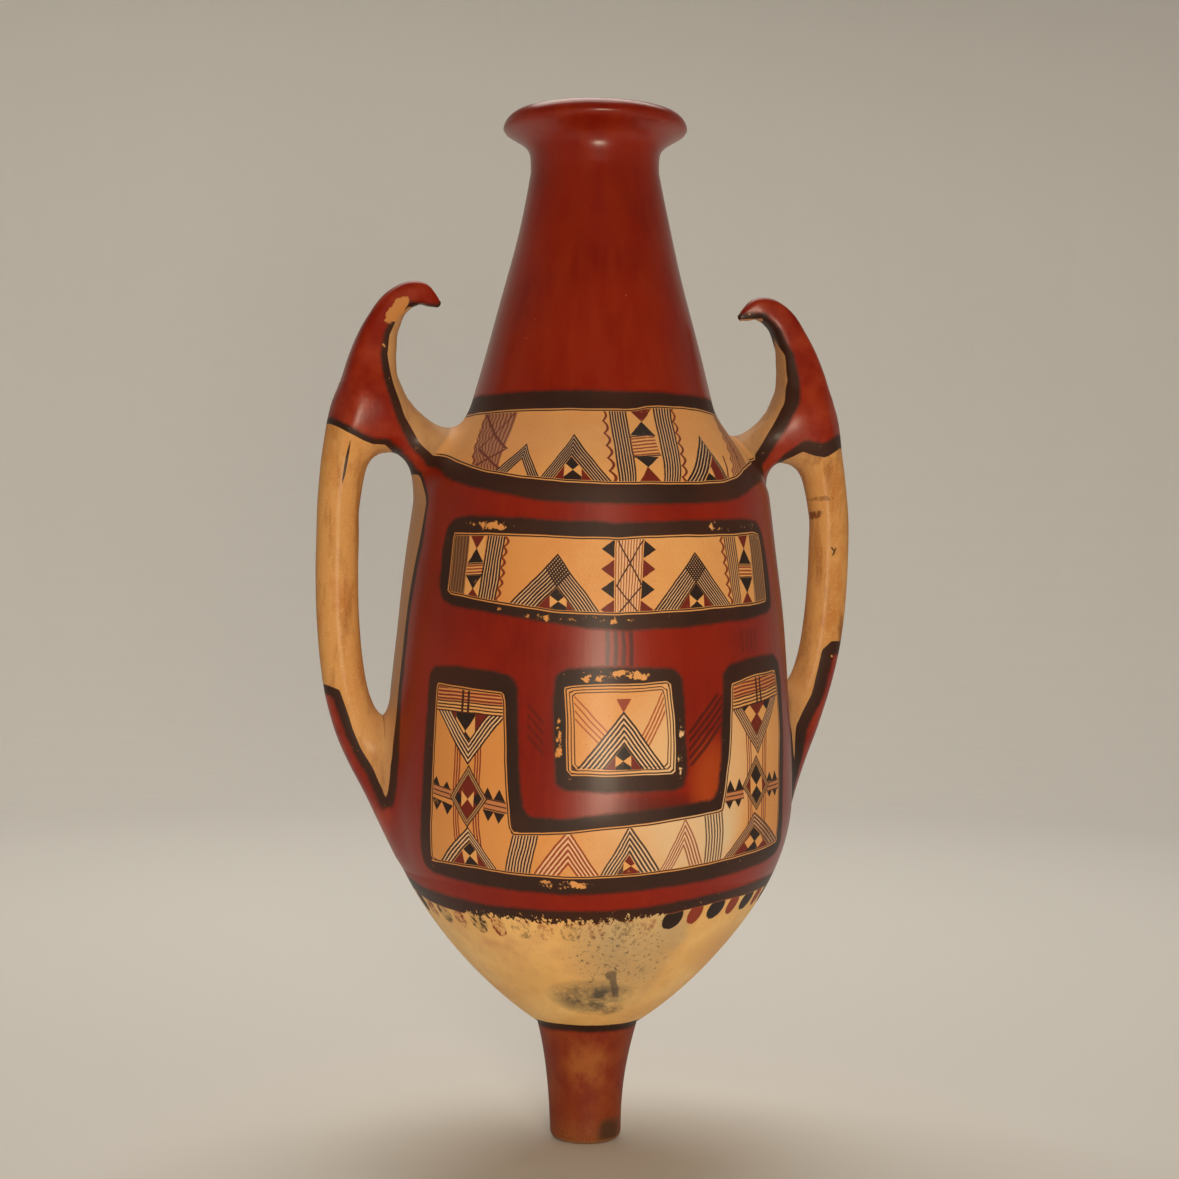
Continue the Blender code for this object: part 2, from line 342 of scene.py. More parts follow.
def rolled(path, start_cap, end_cap):
    """Points: path plus half the width times an oval of changing power. The
    caps are a few rings that shrink like a half circle past each end."""
    turn = np.linspace(0.0, 0.5 * math.pi, 6)[1:]
    outward, ahead = outward_of(path)
    rings = [(path, outward)]
    for index, cap, facing in ((0, start_cap, -1.0), (-1, end_cap, 1.0)):
        centre = path[index, :2] + facing * cap * np.sin(turn)[:, None] * ahead[index]
        ring = np.column_stack([centre, path[index, 2] * np.cos(turn)])
        ring = ring[::-1] if facing < 0 else ring
        pair = (ring, np.repeat(outward[index : index + 1 or None], len(turn), axis=0))
        rings = [pair] + rings if facing < 0 else rings + [pair]
    path = np.concatenate([ring for ring, _ in rings])
    outward = np.concatenate([side for _, side in rings])
    angle = np.arange(ROUND) * (2.0 * math.pi / ROUND)
    power = 2.0 / section_power(path[:, 1:2])
    half = 0.5 * path[:, 2:3]
    across = half * np.sign(np.cos(angle)) * np.abs(np.cos(angle)) ** power
    depth = FLATTENING * half * np.sign(np.sin(angle)) * np.abs(np.sin(angle)) ** power
    x = path[:, :1] + across * outward[:, :1]
    z = path[:, 1:2] + across * outward[:, 1:]
    return np.stack([x, depth, z], axis=-1)


paths = {}
for side, (facing, gap, root_bend) in SIDES.items():
    handle_path, handle_run = smooth_path(handle_knots(gap, root_bend), 170)
    bridge_path, _ = smooth_path(bridge_knots(gap), 30)
    paths[side] = (handle_path, bridge_path)
    print(side, "handle", round(handle_run[-1] * 1000), "mm along its centre")

# %% [markdown]
# ## Joining handles to body
#
# The rolls run through the wall, so the plain way to join them is an exact
# union of closed solids. The plug in the throat is then taken out and the
# hollow is sewn to the same ring of points, which keeps the lip untouched.

# %% Union of the solids, then the hollow
def join(target, tool):
    """Union of two closed meshes; the tool is removed afterwards."""
    boolean = target.modifiers.new("join", "BOOLEAN")
    boolean.operation, boolean.solver, boolean.object = "UNION", "EXACT", tool
    evaluated = target.evaluated_get(bpy.context.evaluated_depsgraph_get())
    joined = bpy.data.meshes.new_from_object(evaluated)
    target.modifiers.clear()
    target.data = joined
    bpy.data.objects.remove(tool, do_unlink=True)


for side, (handle_path, bridge_path) in paths.items():
    facing = SIDES[side][0]
    flip = np.array([facing, 1.0, 1.0])
    handle = surface("handle_" + side, rolled(handle_path, 0.0025, 0.006) * flip)
    bridge = surface("bridge_" + side, rolled(bridge_path, 0.006, 0.008) * flip)
    join(handle, bridge)
    join(body, handle)

hollow = surface("hollow", turned(inside_line()))
work = bmesh.new()
work.from_mesh(body.data)
plug = min(work.verts, key=lambda v: v.co.x**2 + v.co.y**2 + (v.co.z - PLUG_Z) ** 2)
bmesh.ops.delete(work, geom=[plug], context="VERTS")
work.from_mesh(hollow.data)
bmesh.ops.remove_doubles(work, verts=work.verts, dist=1e-6)
bmesh.ops.triangulate(work, faces=[face for face in work.faces if len(face.verts) > 4])
bmesh.ops.recalc_face_normals(work, faces=work.faces)
work.to_mesh(body.data)
open_edges = sum(1 for edge in work.edges if len(edge.link_faces) != 2)
work.free()
bpy.data.objects.remove(hollow, do_unlink=True)
print("joined", len(body.data.vertices), "points", open_edges, "open edges")

# %% [markdown]
# ## Clay pressed into the joints
#
# A union leaves a sharp crease where a handle meets the body. A potter wipes
# extra clay into it. The same softness comes from distances: near a joint
# each point has a distance to the body and one to the roll, and a smooth
# minimum of the two is the distance to a surface that flows from one into
# the other. Points near the joints are slid along the surface to even them
# out and then moved on to that flowing surface, a few times over.

# %% Distances to the body and to a roll
FILLET_BODY, FILLET_BRIDGE, CAP = 0.026, 0.020, 0.008
PROBE, LONGEST_STEP = 0.0003, 0.004
NEAR_HANDLE_X, NEAR_HANDLE_Z, BELOW_THROAT = 0.07, 0.19, 0.74
MID_WALL = 0.6 * WALL
PATH_BLOCK, OUTLINE_BLOCK = 4000, 20000


def nearest_on(path, place):
    """Index of the nearest point of the path, for points in the handle's plane."""
    index = np.empty(len(place), dtype=int)
    for start in range(0, len(place), PATH_BLOCK):
        block = place[start : start + PATH_BLOCK]
        gap = block[:, None, :] - path[None, :, :2]
        index[start : start + PATH_BLOCK] = np.argmin((gap**2).sum(axis=-1), axis=1)
    return index


def roll_distance(path, points, index):
    """Distance to a roll: radial distance times one less the reciprocal of the
    oval's measure, with short round caps. Also how far outwards it lies."""
    outward, ahead = outward_of(path)
    offset = points[:, [0, 2]] - path[index, :2]
    across = (offset * outward[index]).sum(axis=1)
    past = (offset * ahead[index]).sum(axis=1)
    past = np.where((index == 0) | (index == len(path) - 1), past, 0.0)
    half = 0.5 * path[index, 2]
    power = section_power(path[index, 1])
    shares = np.abs([across / half, points[:, 1] / (FLATTENING * half), past / CAP])
    measure = (shares**power).sum(axis=0) ** (1.0 / power)
    radial = np.sqrt(across**2 + points[:, 1] ** 2 + past**2)
    return radial * (1.0 - 1.0 / np.maximum(measure, 1e-6)), across


def body_distance(points):
    """Radius less the body's radius, over the length of the slope."""
    radius = np.hypot(points[:, 0], points[:, 1])
    return (radius - outer_radius(points[:, 2])) / np.hypot(1.0, outer_slope(points[:, 2]))


def soft_least(a, b, width):
    """The lesser of two distances, rounded where they are nearly equal."""
    near = np.clip(width - np.abs(a - b), 0.0, None) / width
    return np.minimum(a, b) - near**2 * width * 0.25


def flowing(points, handle_path, bridge_path, on_handle, on_bridge):
    """Distance to the body and both rolls, blended into one another."""
    handle, _ = roll_distance(handle_path, points, on_handle)
    bridge, _ = roll_distance(bridge_path, points, on_bridge)
    return soft_least(soft_least(handle, bridge, FILLET_BRIDGE), body_distance(points), FILLET_BODY)


# %% Slide and settle the points near each joint
count = len(body.data.vertices)
points = np.empty(count * 3)
body.data.vertices.foreach_get("co", points)
points = points.reshape(-1, 3)
edges = np.empty(len(body.data.edges) * 2, dtype=int)
body.data.edges.foreach_get("vertices", edges)
edges = edges.reshape(-1, 2)
outside = np.hypot(points[:, 0], points[:, 1]) > inner_radius(points[:, 2]) + MID_WALL
outside &= points[:, 2] < BELOW_THROAT


def mean_of_neighbours(places):
    """Average place of the points that share an edge with each point."""
    total, number = np.zeros_like(places), np.zeros(len(places))
    for one, other in ((0, 1), (1, 0)):
        np.add.at(total, edges[:, one], places[edges[:, other]])
        np.add.at(number, edges[:, one], 1.0)
    return total / number[:, None]


def settle(places, chosen, paths_pair, rounds):
    """Move points against the slope of the distance until it is nought."""
    spot = places[chosen]
    held = [*paths_pair, *(nearest_on(path, spot[:, [0, 2]]) for path in paths_pair)]
    for _ in range(rounds):
        here = flowing(spot, *held)
        slope = np.empty_like(spot)
        for axis in range(3):
            step = np.zeros(3)
            step[axis] = PROBE
            difference = flowing(spot + step, *held) - flowing(spot - step, *held)
            slope[:, axis] = difference / (2.0 * PROBE)
        size = np.clip((slope**2).sum(axis=1), 0.25, None)
        spot = spot - np.clip(here / size, -LONGEST_STEP, LONGEST_STEP)[:, None] * slope
    places[chosen] = spot
    return places


for side, pair in paths.items():
    facing = SIDES[side][0]
    points[:, 0] *= facing
    reach = (points[:, 0] > NEAR_HANDLE_X) & outside & (points[:, 2] > NEAR_HANDLE_Z)
    place = points[reach]
    away = [roll_distance(path, place, nearest_on(path, place[:, [0, 2]]))[0] for path in pair]
    spread = np.sort(np.abs([*away, body_distance(place)]), axis=0)[1]
    joint = np.flatnonzero(reach)[spread < FILLET_BODY]
    tight = np.flatnonzero(reach)[spread < 0.6 * FILLET_BODY]
    points = settle(points, joint, pair, 3)
    for _ in range(10):
        smooth = mean_of_neighbours(points)
        points[tight] += 0.6 * (smooth[tight] - points[tight])
        points = settle(points, tight, pair, 2)
    points = settle(points, joint, pair, 3)
    points[:, 0] *= facing
    print(side, "joint", len(joint), "points settled")

# %% [markdown]
# ## The maker's hand
#
# Nothing on a coil-built jar is quite round. A few slow waves, a millimetre
# high at most, are added to every point as one smooth function of its place,
# so the inside and the outside move together and nothing opens up.

# %% Slow waves in the clay
WAVE_HEIGHT = 0.001


def hand_waves(places):
    """Sideways shift: a sum of sines. Each wave is its share, how often it
    goes round the jar, how it twists with height, and where it starts."""
    x, y, z = places.T
    angle = np.arctan2(x, -y)
    waves = ((0.45, 2, 9.0, 0.0), (0.3, 3, -23.0, 1.0), (0.25, 5, 61.0, 2.0))
    swell = sum(share * np.sin(turns * angle + twist * z + start) for share, turns, twist, start in waves)
    radius = np.hypot(x, y)
    fade = smooth_step(radius / 0.03) * smooth_step(z / 0.02) * smooth_step((Z_TOP - z) / 0.004)
    shift = WAVE_HEIGHT * swell * fade / np.maximum(radius, 1e-6)
    return np.column_stack([x * shift, y * shift, 0.0 * z])


still = points.copy()
points = points + hand_waves(points)
body.data.vertices.foreach_set("co", points.ravel())
body.data.update()
body.data.shade_smooth()
box = [round(v, 4) for v in (*points.min(axis=0), *points.max(axis=0))]
print("faces", len(body.data.polygons), "box", box)

# %% [markdown]
# ## Laying out the painting
#
# The painter worked in bands and panels: a pale field, a dark frame round
# it, red slip between. Each panel is written down as a closed outline in
# paint coordinates: u runs round the jar, as the angle times 150
# millimetres, and v is the height in millimetres. For every point of the
# mesh two distances are worked out and kept as attributes: how far it lies
# inside the nearest pale field, and how far inside the nearest dark frame.
# The materials then only have to ask whether a distance is above nought.

# %% Outlines of the panels on the front, u and v in millimetres
SECOND_FIELD = [
    (-157, 424), (-157, 468.5), (-100, 467), (-60, 465.5), (-20, 465), (0, 466), (40, 468), (80, 469.5),
    (115, 471.5), (124, 470), (125, 420), (100, 417), (60, 414.5), (20, 411.5), (0, 410.5), (-20, 409.5),
    (-60, 410.5), (-80, 413), (-120, 418), (-140, 421),
]
SECOND_FRAME = [
    (-168, 430), (-169, 455), (-166, 472), (-158, 479), (-140, 480.5), (-100, 479), (-60, 477), (-20, 475.5),
    (20, 477.5), (60, 479.5), (100, 481), (122, 480), (131, 473), (134, 455), (135, 430), (133, 416),
    (125, 411.5), (100, 407), (60, 403.5), (20, 400), (-10, 398.5), (-40, 399.5), (-80, 405), (-120, 411),
    (-150, 414.5), (-163, 419),
]
SQUARE_FIELD = [
    (-57, 358.5), (-40, 360), (-20, 361), (0, 361.8), (19, 363.3), (21, 340), (21.5, 320), (20.5, 297),
    (0, 296.5), (-30, 295.5), (-54, 296), (-55, 330),
]
SQUARE_FRAME = [
    (-62, 291), (-57, 285.5), (-30, 284.2), (20, 284.8), (27, 288), (29.5, 300), (29.5, 340), (28, 366),
    (22, 372.5), (0, 373), (-30, 372.7), (-55, 372), (-63, 367), (-65, 350), (-63.5, 320),
]
U_FIELD = [
    (-160, 358.5), (-100, 353.5), (-98.5, 345), (-97.5, 320), (-96, 295), (-94, 275), (-91.5, 254.5),
    (-70, 255), (-45, 257.5), (-20, 260.5), (0, 262.5), (30, 266), (57.5, 270), (61, 285), (65, 305),
    (68, 330), (70.5, 360), (85, 364), (100, 366.5), (131, 369), (133, 350), (133, 320), (130, 290),
    (128, 262), (130, 246), (134, 239.5), (120, 237.5), (100, 235), (60, 231), (30, 227.5), (0, 224.5),
    (-30, 222.8), (-60, 222), (-80, 222.8), (-100, 224), (-120, 225.5), (-140, 226.5), (-169, 227),
    (-165, 240), (-161, 262), (-160, 290), (-160.5, 330),
]
U_FRAME = [
    (-170, 364), (-164, 370.5), (-140, 371), (-110, 369), (-96, 366), (-90, 359), (-88.5, 330), (-87, 300),
    (-84, 272), (-80, 266.5), (-60, 265.5), (-30, 268.5), (0, 272), (30, 275.5), (49, 277.5), (54, 284),
    (58, 310), (61, 345), (62.5, 367), (70, 374), (90, 378), (110, 380.5), (130, 380.5), (141, 375),
    (143, 360), (141, 320), (139, 290), (137, 262), (141, 247), (145, 237), (139, 230), (120, 226),
    (90, 222), (60, 218.5), (30, 215.5), (0, 212.5), (-30, 210.5), (-60, 209.8), (-90, 211), (-120, 213),
    (-150, 215.5), (-172, 218), (-180, 223), (-180, 232), (-175, 250), (-171, 275), (-170, 320),
]

# %% Outlines on the handles, distance from the axis and height in millimetres
BARE_GRIP = {
    "left": [
        (240, 556), (206, 550), (196, 544), (184, 538), (175, 535), (165, 535), (155, 529), (146, 518),
        (138, 500), (100, 480), (100, 300), (150, 262), (158, 258), (164, 272), (172, 290), (180, 304),
        (187, 320), (193, 338), (198, 350), (208, 354), (240, 354),
    ],
    "right": [
        (240, 544), (200, 542), (187, 534), (178, 535), (168, 538), (157, 532), (150, 524), (140, 500),
        (100, 480), (100, 300), (150, 284), (158, 286), (162, 301), (166, 321), (179, 345), (184, 365),
        (187, 381), (195, 388), (240, 390),
    ],
}
HORN_INSIDE = {
    "left": [
        (40, 700), (124, 640), (147, 641), (156, 631), (162, 618), (164, 603), (160, 580), (152, 558),
        (139, 537), (123, 521), (100, 512), (40, 500),
    ],
    "right": [
        (40, 700), (118, 643), (137, 644), (148, 633), (155, 615), (156, 595), (153, 577), (144, 559),
        (134, 543), (124, 531), (100, 519), (40, 505),
    ],
}
LINE_BY_HORN = {"left": (4.2, 7.0), "right": (4.8, 10.2)}


def line_below_grip(side, across, up):
    """Width of the dark line between red and bare clay. On the right it is
    broad and runs out to nothing over the arch of the opening."""
    if side == "left":
        return 4.8 + 2.0 * smooth_step((400.0 - up) / 40.0)
    return 11.0 * np.where(up > 480.0, smooth_step((across - 126.0) / 58.0), 1.0)


# %% Signed distance to a closed outline
def inside_by(places, outline):
    """Least distance to any side of the outline, positive within it. A point
    is within when a ray from it crosses the sides an odd number of times."""
    corners = np.array(outline, dtype=float)
    ends = np.roll(corners, -1, axis=0)
    side = ends - corners
    result = np.empty(len(places))
    for start in range(0, len(places), OUTLINE_BLOCK):
        block = places[start : start + OUTLINE_BLOCK, None, :]
        offset = block - corners
        share = np.clip((offset * side).sum(-1) / (side**2).sum(-1), 0.0, 1.0)
        near = np.sqrt(((offset - share[..., None] * side) ** 2).sum(-1)).min(axis=1)
        rising = (corners[:, 1] > block[..., 1]) != (ends[:, 1] > block[..., 1])
        height = np.where(np.abs(side[:, 1]) < 1e-9, 1e-9, side[:, 1])
        meets = corners[:, 0] + (block[..., 1] - corners[:, 1]) / height * side[:, 0]
        crossings = (rising & (block[..., 0] < meets)).sum(axis=1)
        result[start : start + OUTLINE_BLOCK] = np.where(crossings % 2 == 1, near, -near)
    return result


# %% Edges of the bands that run right round, as heights for any u
PAINT_RADIUS = 150.0
HALF_TURN = PAINT_RADIUS * math.pi
HANDLE_U = 235.6


def by_hand(u, pairs):
    """Height along a hand-painted edge: straight between the read points. The
    back repeats the left half of the front, turned about the handles."""
    u = np.where(np.abs(u) > 0.5 * HALF_TURN, -(HALF_TURN - np.abs(u)), u)
    at, height = np.array(pairs, dtype=float).T
    return np.interp(u, at, height)


SHOULDER_TOP = [
    (-236, 560.5), (0, 560.5), (12, 561.3), (24, 563.5), (40, 564.5), (100, 564.5), (150, 563), (236, 561),
]
SHOULDER_LOW = [
    (-236, 531), (-200, 526.5), (-170, 520.5), (-150, 516), (-130, 512.2), (-100, 508), (-80, 506),
    (-60, 504.2), (-40, 503.6), (-20, 503.5), (20, 504), (50, 505), (80, 507), (100, 511), (120, 518),
    (140, 522.5), (170, 526), (236, 533),
]
SHOULDER_FRAME = [
    (-236, 524), (-200, 517), (-170, 507), (-150, 503), (-130, 499.5), (-100, 494), (-80, 491), (-60, 489.5),
    (-20, 489), (20, 490), (50, 491), (80, 493), (100, 497), (120, 504), (140, 509), (170, 514), (236, 521),
]
BELT_TOP = [
    (-236, 208), (-200, 204), (-126, 198.5), (-60, 197), (-20, 198), (0, 200), (40, 204), (80, 208),
    (139, 212), (236, 212),
]
BELT_LOW = [
    (-236, 197), (-200, 192), (-130, 187), (-62, 185.5), (-20, 187), (4, 190), (40, 195.5), (76, 199.5),
    (139, 202.5), (236, 203),
]

# %% Distances for every point of the jar
SIDE_EDGE = [
    (250, 222), (275, 215), (300, 214), (350, 219), (400, 217), (440, 213), (470, 207), (500, 203),
    (520, 196),
]
SOLE_LINE, ANKLE_LINE, COLLAR_LINE = 89.0, (96.5, 98.0), 574.5
LINED_REACH, LIP_FROM, HANDLE_BLEND = -6.0, 0.775, 0.009
x, y, z = still.T
u, v = PAINT_RADIUS * np.arctan2(x, -y), 1000.0 * z
flat = np.column_stack([u, v])
is_outside = (np.hypot(x, y) > inner_radius(z) + MID_WALL) | (z > LIP_FROM)
top, low, frame_low = by_hand(u, SHOULDER_TOP), by_hand(u, SHOULDER_LOW), by_hand(u, SHOULDER_FRAME)
belt_top, belt_low = by_hand(u, BELT_TOP), by_hand(u, BELT_LOW)
side_edge = np.interp(v, *np.array(SIDE_EDGE, dtype=float).T)
from_handle = np.abs(np.abs(u) - HANDLE_U)
under_bridge = (530.4 - 1.2 * from_handle - v) * 0.64
side_field = np.minimum(HANDLE_U - side_edge - from_handle, np.minimum(v - 270.0, under_bridge))
field = np.minimum(top - v, v - low)
framing = np.minimum(COLLAR_LINE - v, v - frame_low)
lined = field > LINED_REACH
for field_outline, frame_outline in (
    (SECOND_FIELD, SECOND_FRAME),
    (SQUARE_FIELD, SQUARE_FRAME),
    (U_FIELD, U_FRAME),
):
    here = inside_by(flat, field_outline)
    field = np.maximum(field, here)
    framing = np.maximum(framing, inside_by(flat, frame_outline))
    lined |= here > LINED_REACH
field = np.maximum(field, side_field)
framing = np.maximum(framing, side_field + 8.0 - 3.8 * smooth_step((v - 450.0) / 45.0))
framing = np.maximum(framing, np.minimum(belt_top - v, v - belt_low))
field = np.maximum(field, np.minimum(belt_low - v, v - ANKLE_LINE[0]))
framing = np.maximum(framing, np.minimum(ANKLE_LINE[1] - v, v - SOLE_LINE))

# %% The same distances on the handles, blended in at the joints
on_handle = np.zeros(len(still))
for side, pair in paths.items():
    facing = SIDES[side][0]
    near = (facing * x > NEAR_HANDLE_X) & (z > NEAR_HANDLE_Z) & (z < 0.7)
    chosen = np.flatnonzero(near & is_outside)
    place = still[chosen] * [facing, 1.0, 1.0]
    away = [roll_distance(path, place, nearest_on(path, place[:, [0, 2]]))[0] for path in pair]
    share = smooth_step((body_distance(place) - np.minimum(*away)) / HANDLE_BLEND + 0.5)
    front = 1000.0 * place[:, [0, 2]]
    grip = inside_by(front, BARE_GRIP[side])
    horn = inside_by(front, HORN_INSIDE[side])
    thin, thick = LINE_BY_HORN[side]
    band = thin + (thick - thin) * smooth_step((635.0 - front[:, 1]) / 60.0)
    grip_line = line_below_grip(side, front[:, 0], front[:, 1])
    field_here, frame_here = np.maximum(grip, horn), np.maximum(grip + grip_line, horn + band)
    field[chosen] += share * (field_here - field[chosen])
    framing[chosen] += share * (frame_here - framing[chosen])
    on_handle[chosen] = np.maximum(on_handle[chosen], share)

kept = {
    "field": field,
    "framing": framing,
    "on_handle": on_handle,
    "lined": np.where(lined, 1.0, 0.0) * (1.0 - on_handle),
}
for name, values in kept.items():
    attribute = body.data.attributes.new(name, "FLOAT", "POINT")
    attribute.data.foreach_set("value", np.ascontiguousarray(values, dtype=np.float32))
print("attributes", {name: (round(float(d.min()), 1), round(float(d.max()), 1)) for name, d in kept.items()})

# %% [markdown]
# ## Writing a material as sums
#
# A material is a graph of small nodes. Drawn by hand, a graph for brushwork
# like this would fill a wall, so it is written as sums instead: a Tone wraps
# one socket, and adding, multiplying or comparing Tones adds the Math nodes.
# A Coat holds one material and makes every other kind of node.

# %% Tone and Coat
class Tone:
    """One socket of a coat, to be used in sums like a number."""

    def __init__(self, coat, socket):
        self.coat, self.socket = coat, socket

    def __add__(self, other):
        return self.coat.sum("ADD", self, other)

    __radd__ = __add__

    def __sub__(self, other):
        return self.coat.sum("SUBTRACT", self, other)

    def __rsub__(self, other):
        return self.coat.sum("SUBTRACT", other, self)

    def __mul__(self, other):
        return self.coat.sum("MULTIPLY", self, other)

    __rmul__ = __mul__

    def __truediv__(self, other):
        return self.coat.sum("DIVIDE", self, other)

    def __abs__(self):
        return self.coat.sum("ABSOLUTE", self)


class Coat:
    """A material whose nodes are added by sums and by the method node."""

    def __init__(self, name):
        self.material = bpy.data.materials.new(name)
        self.material.use_nodes = True
        self.tree = self.material.node_tree
        self.shader = self.tree.nodes["Principled BSDF"]

    def feed(self, socket, value):
        if isinstance(value, Tone):
            self.tree.links.new(value.socket, socket)
        elif isinstance(value, tuple) and len(value) == 3 and len(socket.default_value) == 4:
            socket.default_value = (*value, 1.0)
        else:
            socket.default_value = value

    def node(self, kind, settings=None, sockets=None, output=0):
        made = self.tree.nodes.new(kind)
        for name, value in (settings or {}).items():
            setattr(made, name, value)
        for name, value in (sockets or {}).items():
            self.feed(made.inputs[name], value)
        return Tone(self, made.outputs[output])

    def parts(self, kind, value):
        """The outputs of a node that takes a value apart."""
        split = self.tree.nodes.new(kind)
        self.feed(split.inputs[0], value)
        return [Tone(self, socket) for socket in split.outputs]

    def sum(self, operation, *values, clamp=False):
        settings = {"operation": operation, "use_clamp": clamp}
        return self.node("ShaderNodeMath", settings, dict(enumerate(values)))

    def least(self, a, b):
        return self.sum("MINIMUM", a, b)

    def most(self, a, b):
        return self.sum("MAXIMUM", a, b)

    def ramp(self, value, slope, start):
        """The value times a slope plus a start, kept between 0 and 1."""
        return self.sum("MULTIPLY_ADD", value, slope, start, clamp=True)

    def cover(self, distance, soft=0.25):
        """0 outside, 1 inside, with an edge as wide as soft."""
        return self.ramp(distance, 1.0 / soft, 0.5)

    def over(self, below, paint, mask):
        """Paint laid over what is below, where the mask says."""
        made = self.tree.nodes.new("ShaderNodeMix")
        made.data_type = "RGBA"
        for socket, value in ((made.inputs[0], mask), (made.inputs[6], below), (made.inputs[7], paint)):
            self.feed(socket, value)
        return Tone(self, made.outputs[2])

    def lay(self, paint, mask):
        """Paint laid over the brushwork so far, which the coat keeps."""
        self.paint = self.over(self.paint, paint, mask)

    def dent(self, height, strength, distance):
        """Relief for the shader's normal."""
        sockets = {"Strength": strength, "Distance": distance, "Height": height}
        self.feed(self.shader.inputs["Normal"], self.node("ShaderNodeBump", None, sockets, output="Normal"))

    def attribute(self, name):
        return self.node("ShaderNodeAttribute", {"attribute_name": name}, output="Fac")

    def noise(self, vector, scale, detail=2.0, roughness=0.5, output=0):
        sockets = {"Vector": vector, "Scale": scale, "Detail": detail, "Roughness": roughness}
        return self.node("ShaderNodeTexNoise", None, sockets, output)

    def stretched(self, vector, scale):
        """The place with each axis multiplied, for long or short noise."""
        sockets = {0: vector, 1: scale}
        return self.node("ShaderNodeVectorMath", {"operation": "MULTIPLY"}, sockets)


# %% [markdown]
# ## The slips
#
# Three clays coat the jar: an iron-rich red slip rubbed with a pebble until
# it shines, a pale slip for the fields, and a dark brown paint for frames and
# lines. None is even. The red is streaked down the neck by the pebble and
# darker where it lies thick, the pale one is warm or milky by turns, and the
# dark one has flaked off along the frames, which lets the pale slip show.
# Colours are given as reflectances, so the light can be bright.

# %% Colours
RED, RED_THICK, RED_THIN = (0.262, 0.012, 0.001), (0.175, 0.006, 0.001), (0.31, 0.027, 0.003)
PALE, PALE_WARM, PALE_MILKY = (0.79, 0.385, 0.125), (0.70, 0.27, 0.064), (0.83, 0.58, 0.33)
DARK, DARK_WARM = (0.024, 0.009, 0.005), (0.060, 0.016, 0.007)
BLACK_PAINT, RED_PAINT, LINE_RED = (0.022, 0.010, 0.007), (0.17, 0.016, 0.006), (0.30, 0.050, 0.014)
INK, GAP = (0.030, 0.010, 0.006), (0.82, 0.56, 0.36)
SMOKE, MILK = (0.085, 0.075, 0.062), (0.72, 0.60, 0.40)
BROWN_SMEAR, ORANGE_PATCH, CLAY_SPECK = (0.055, 0.010, 0.004), (0.42, 0.060, 0.007), (0.46, 0.20, 0.06)
# The rough clay colour is browner clay beside the grips, and it also stands in for painted shade between
# handle and body.
SCALLOP_RED, ROUGH_CLAY_AND_SHADE, PALE_SPECK = (0.19, 0.028, 0.010), (0.42, 0.235, 0.115), (0.60, 0.24, 0.09)


def spot(coat, at_u, at_v, wide, high, soft=1.0):
    """1 inside an oval, falling to 0 round it."""
    across, up = (coat.u - at_u) / wide, (coat.v - at_v) / high
    return coat.cover(1.0 - across * across - up * up, soft)


# %% The slips of the whole outside
def jar_coat(name):
    """The slips common to the whole outside, with the values brushwork uses."""
    coat = Coat(name)
    place = coat.node("ShaderNodeTexCoord", output="Object")
    x, y, z = coat.parts("ShaderNodeSeparateXYZ", place)
    coat.place, coat.x, coat.y, coat.z = place, x, y, z
    round_jar = coat.sum("ARCTAN2", x, 0.0 - y)
    shake = coat.noise(place, 42.0, 1.0, output="Color")
    slow_u, slow_v, coat.pressure = coat.parts("ShaderNodeSeparateColor", shake)
    coat.tremble = coat.noise(place, 330.0, 1.0) - 0.5
    coat.u = coat.sum("MULTIPLY_ADD", round_jar, PAINT_RADIUS, (slow_u - 0.5) * 2.2) + coat.tremble * 0.45
    coat.v = coat.sum("MULTIPLY_ADD", z, 1000.0, (slow_v - 0.5) * 1.8) - coat.tremble * 0.4
    coat.field = coat.attribute("field") + (slow_v - 0.5) * 1.6
    coat.framing = coat.attribute("framing") + (slow_u - 0.5) * 2.0 + coat.tremble * 1.6
    coat.in_field, coat.in_frame = coat.cover(coat.field, 0.35), coat.cover(coat.framing, 3.0)
    grain = coat.noise(place, 900.0, 3.0, 0.6)
    cloud = coat.noise(place, 11.0, 4.0, 0.6)
    streak = coat.noise(coat.stretched(place, (1.0, 1.0, 0.09)), 190.0, 2.0, 0.55)
    coat.grain, coat.cloud, coat.streak = grain, cloud, streak
    red = coat.over(RED_THICK, RED, coat.ramp(cloud, 3.0, -0.75))
    red = coat.over(red, RED_THIN, coat.ramp(streak, 1.5, -0.62) * 0.45)
    # A brown smear below the square, and an orange patch at its right.
    red = coat.over(red, BROWN_SMEAR, spot(coat, 8.0, 270.0, 30.0, 12.0, 1.6) * 0.6)
    coat.red_slip = coat.over(red, ORANGE_PATCH, spot(coat, 51.0, 288.0, 17.0, 30.0, 1.6) * 0.85)
    pale = coat.over(PALE_WARM, PALE, coat.ramp(cloud, 2.6, -0.75))
    pale = coat.over(pale, PALE_MILKY, coat.ramp(grain, 1.4, -0.55) * 0.5)
    spots = coat.noise(place, 310.0, 3.0, 0.6)
    pale = coat.over(pale, CLAY_SPECK, coat.ramp(spots, 9.0, -5.9) * 0.5)
    # The fields are warmer towards the left handle and milky right of the middle.
    pale = coat.over(pale, PALE_WARM, spot(coat, -140.0, 340.0, 74.0, 184.0, 2.0) * 0.9)
    coat.pale_slip = coat.over(pale, PALE_MILKY, spot(coat, 38.0, 305.0, 44.0, 53.0, 2.0) * 0.75)
    coat.flake = coat.noise(place, 130.0, 5.0, 0.68)
    return coat


# %% Wear, layers and relief
def in_red(coat):
    """1 where the red slip is neither framed nor covered by a field."""
    return (1.0 - coat.in_frame) * (1.0 - coat.in_field)


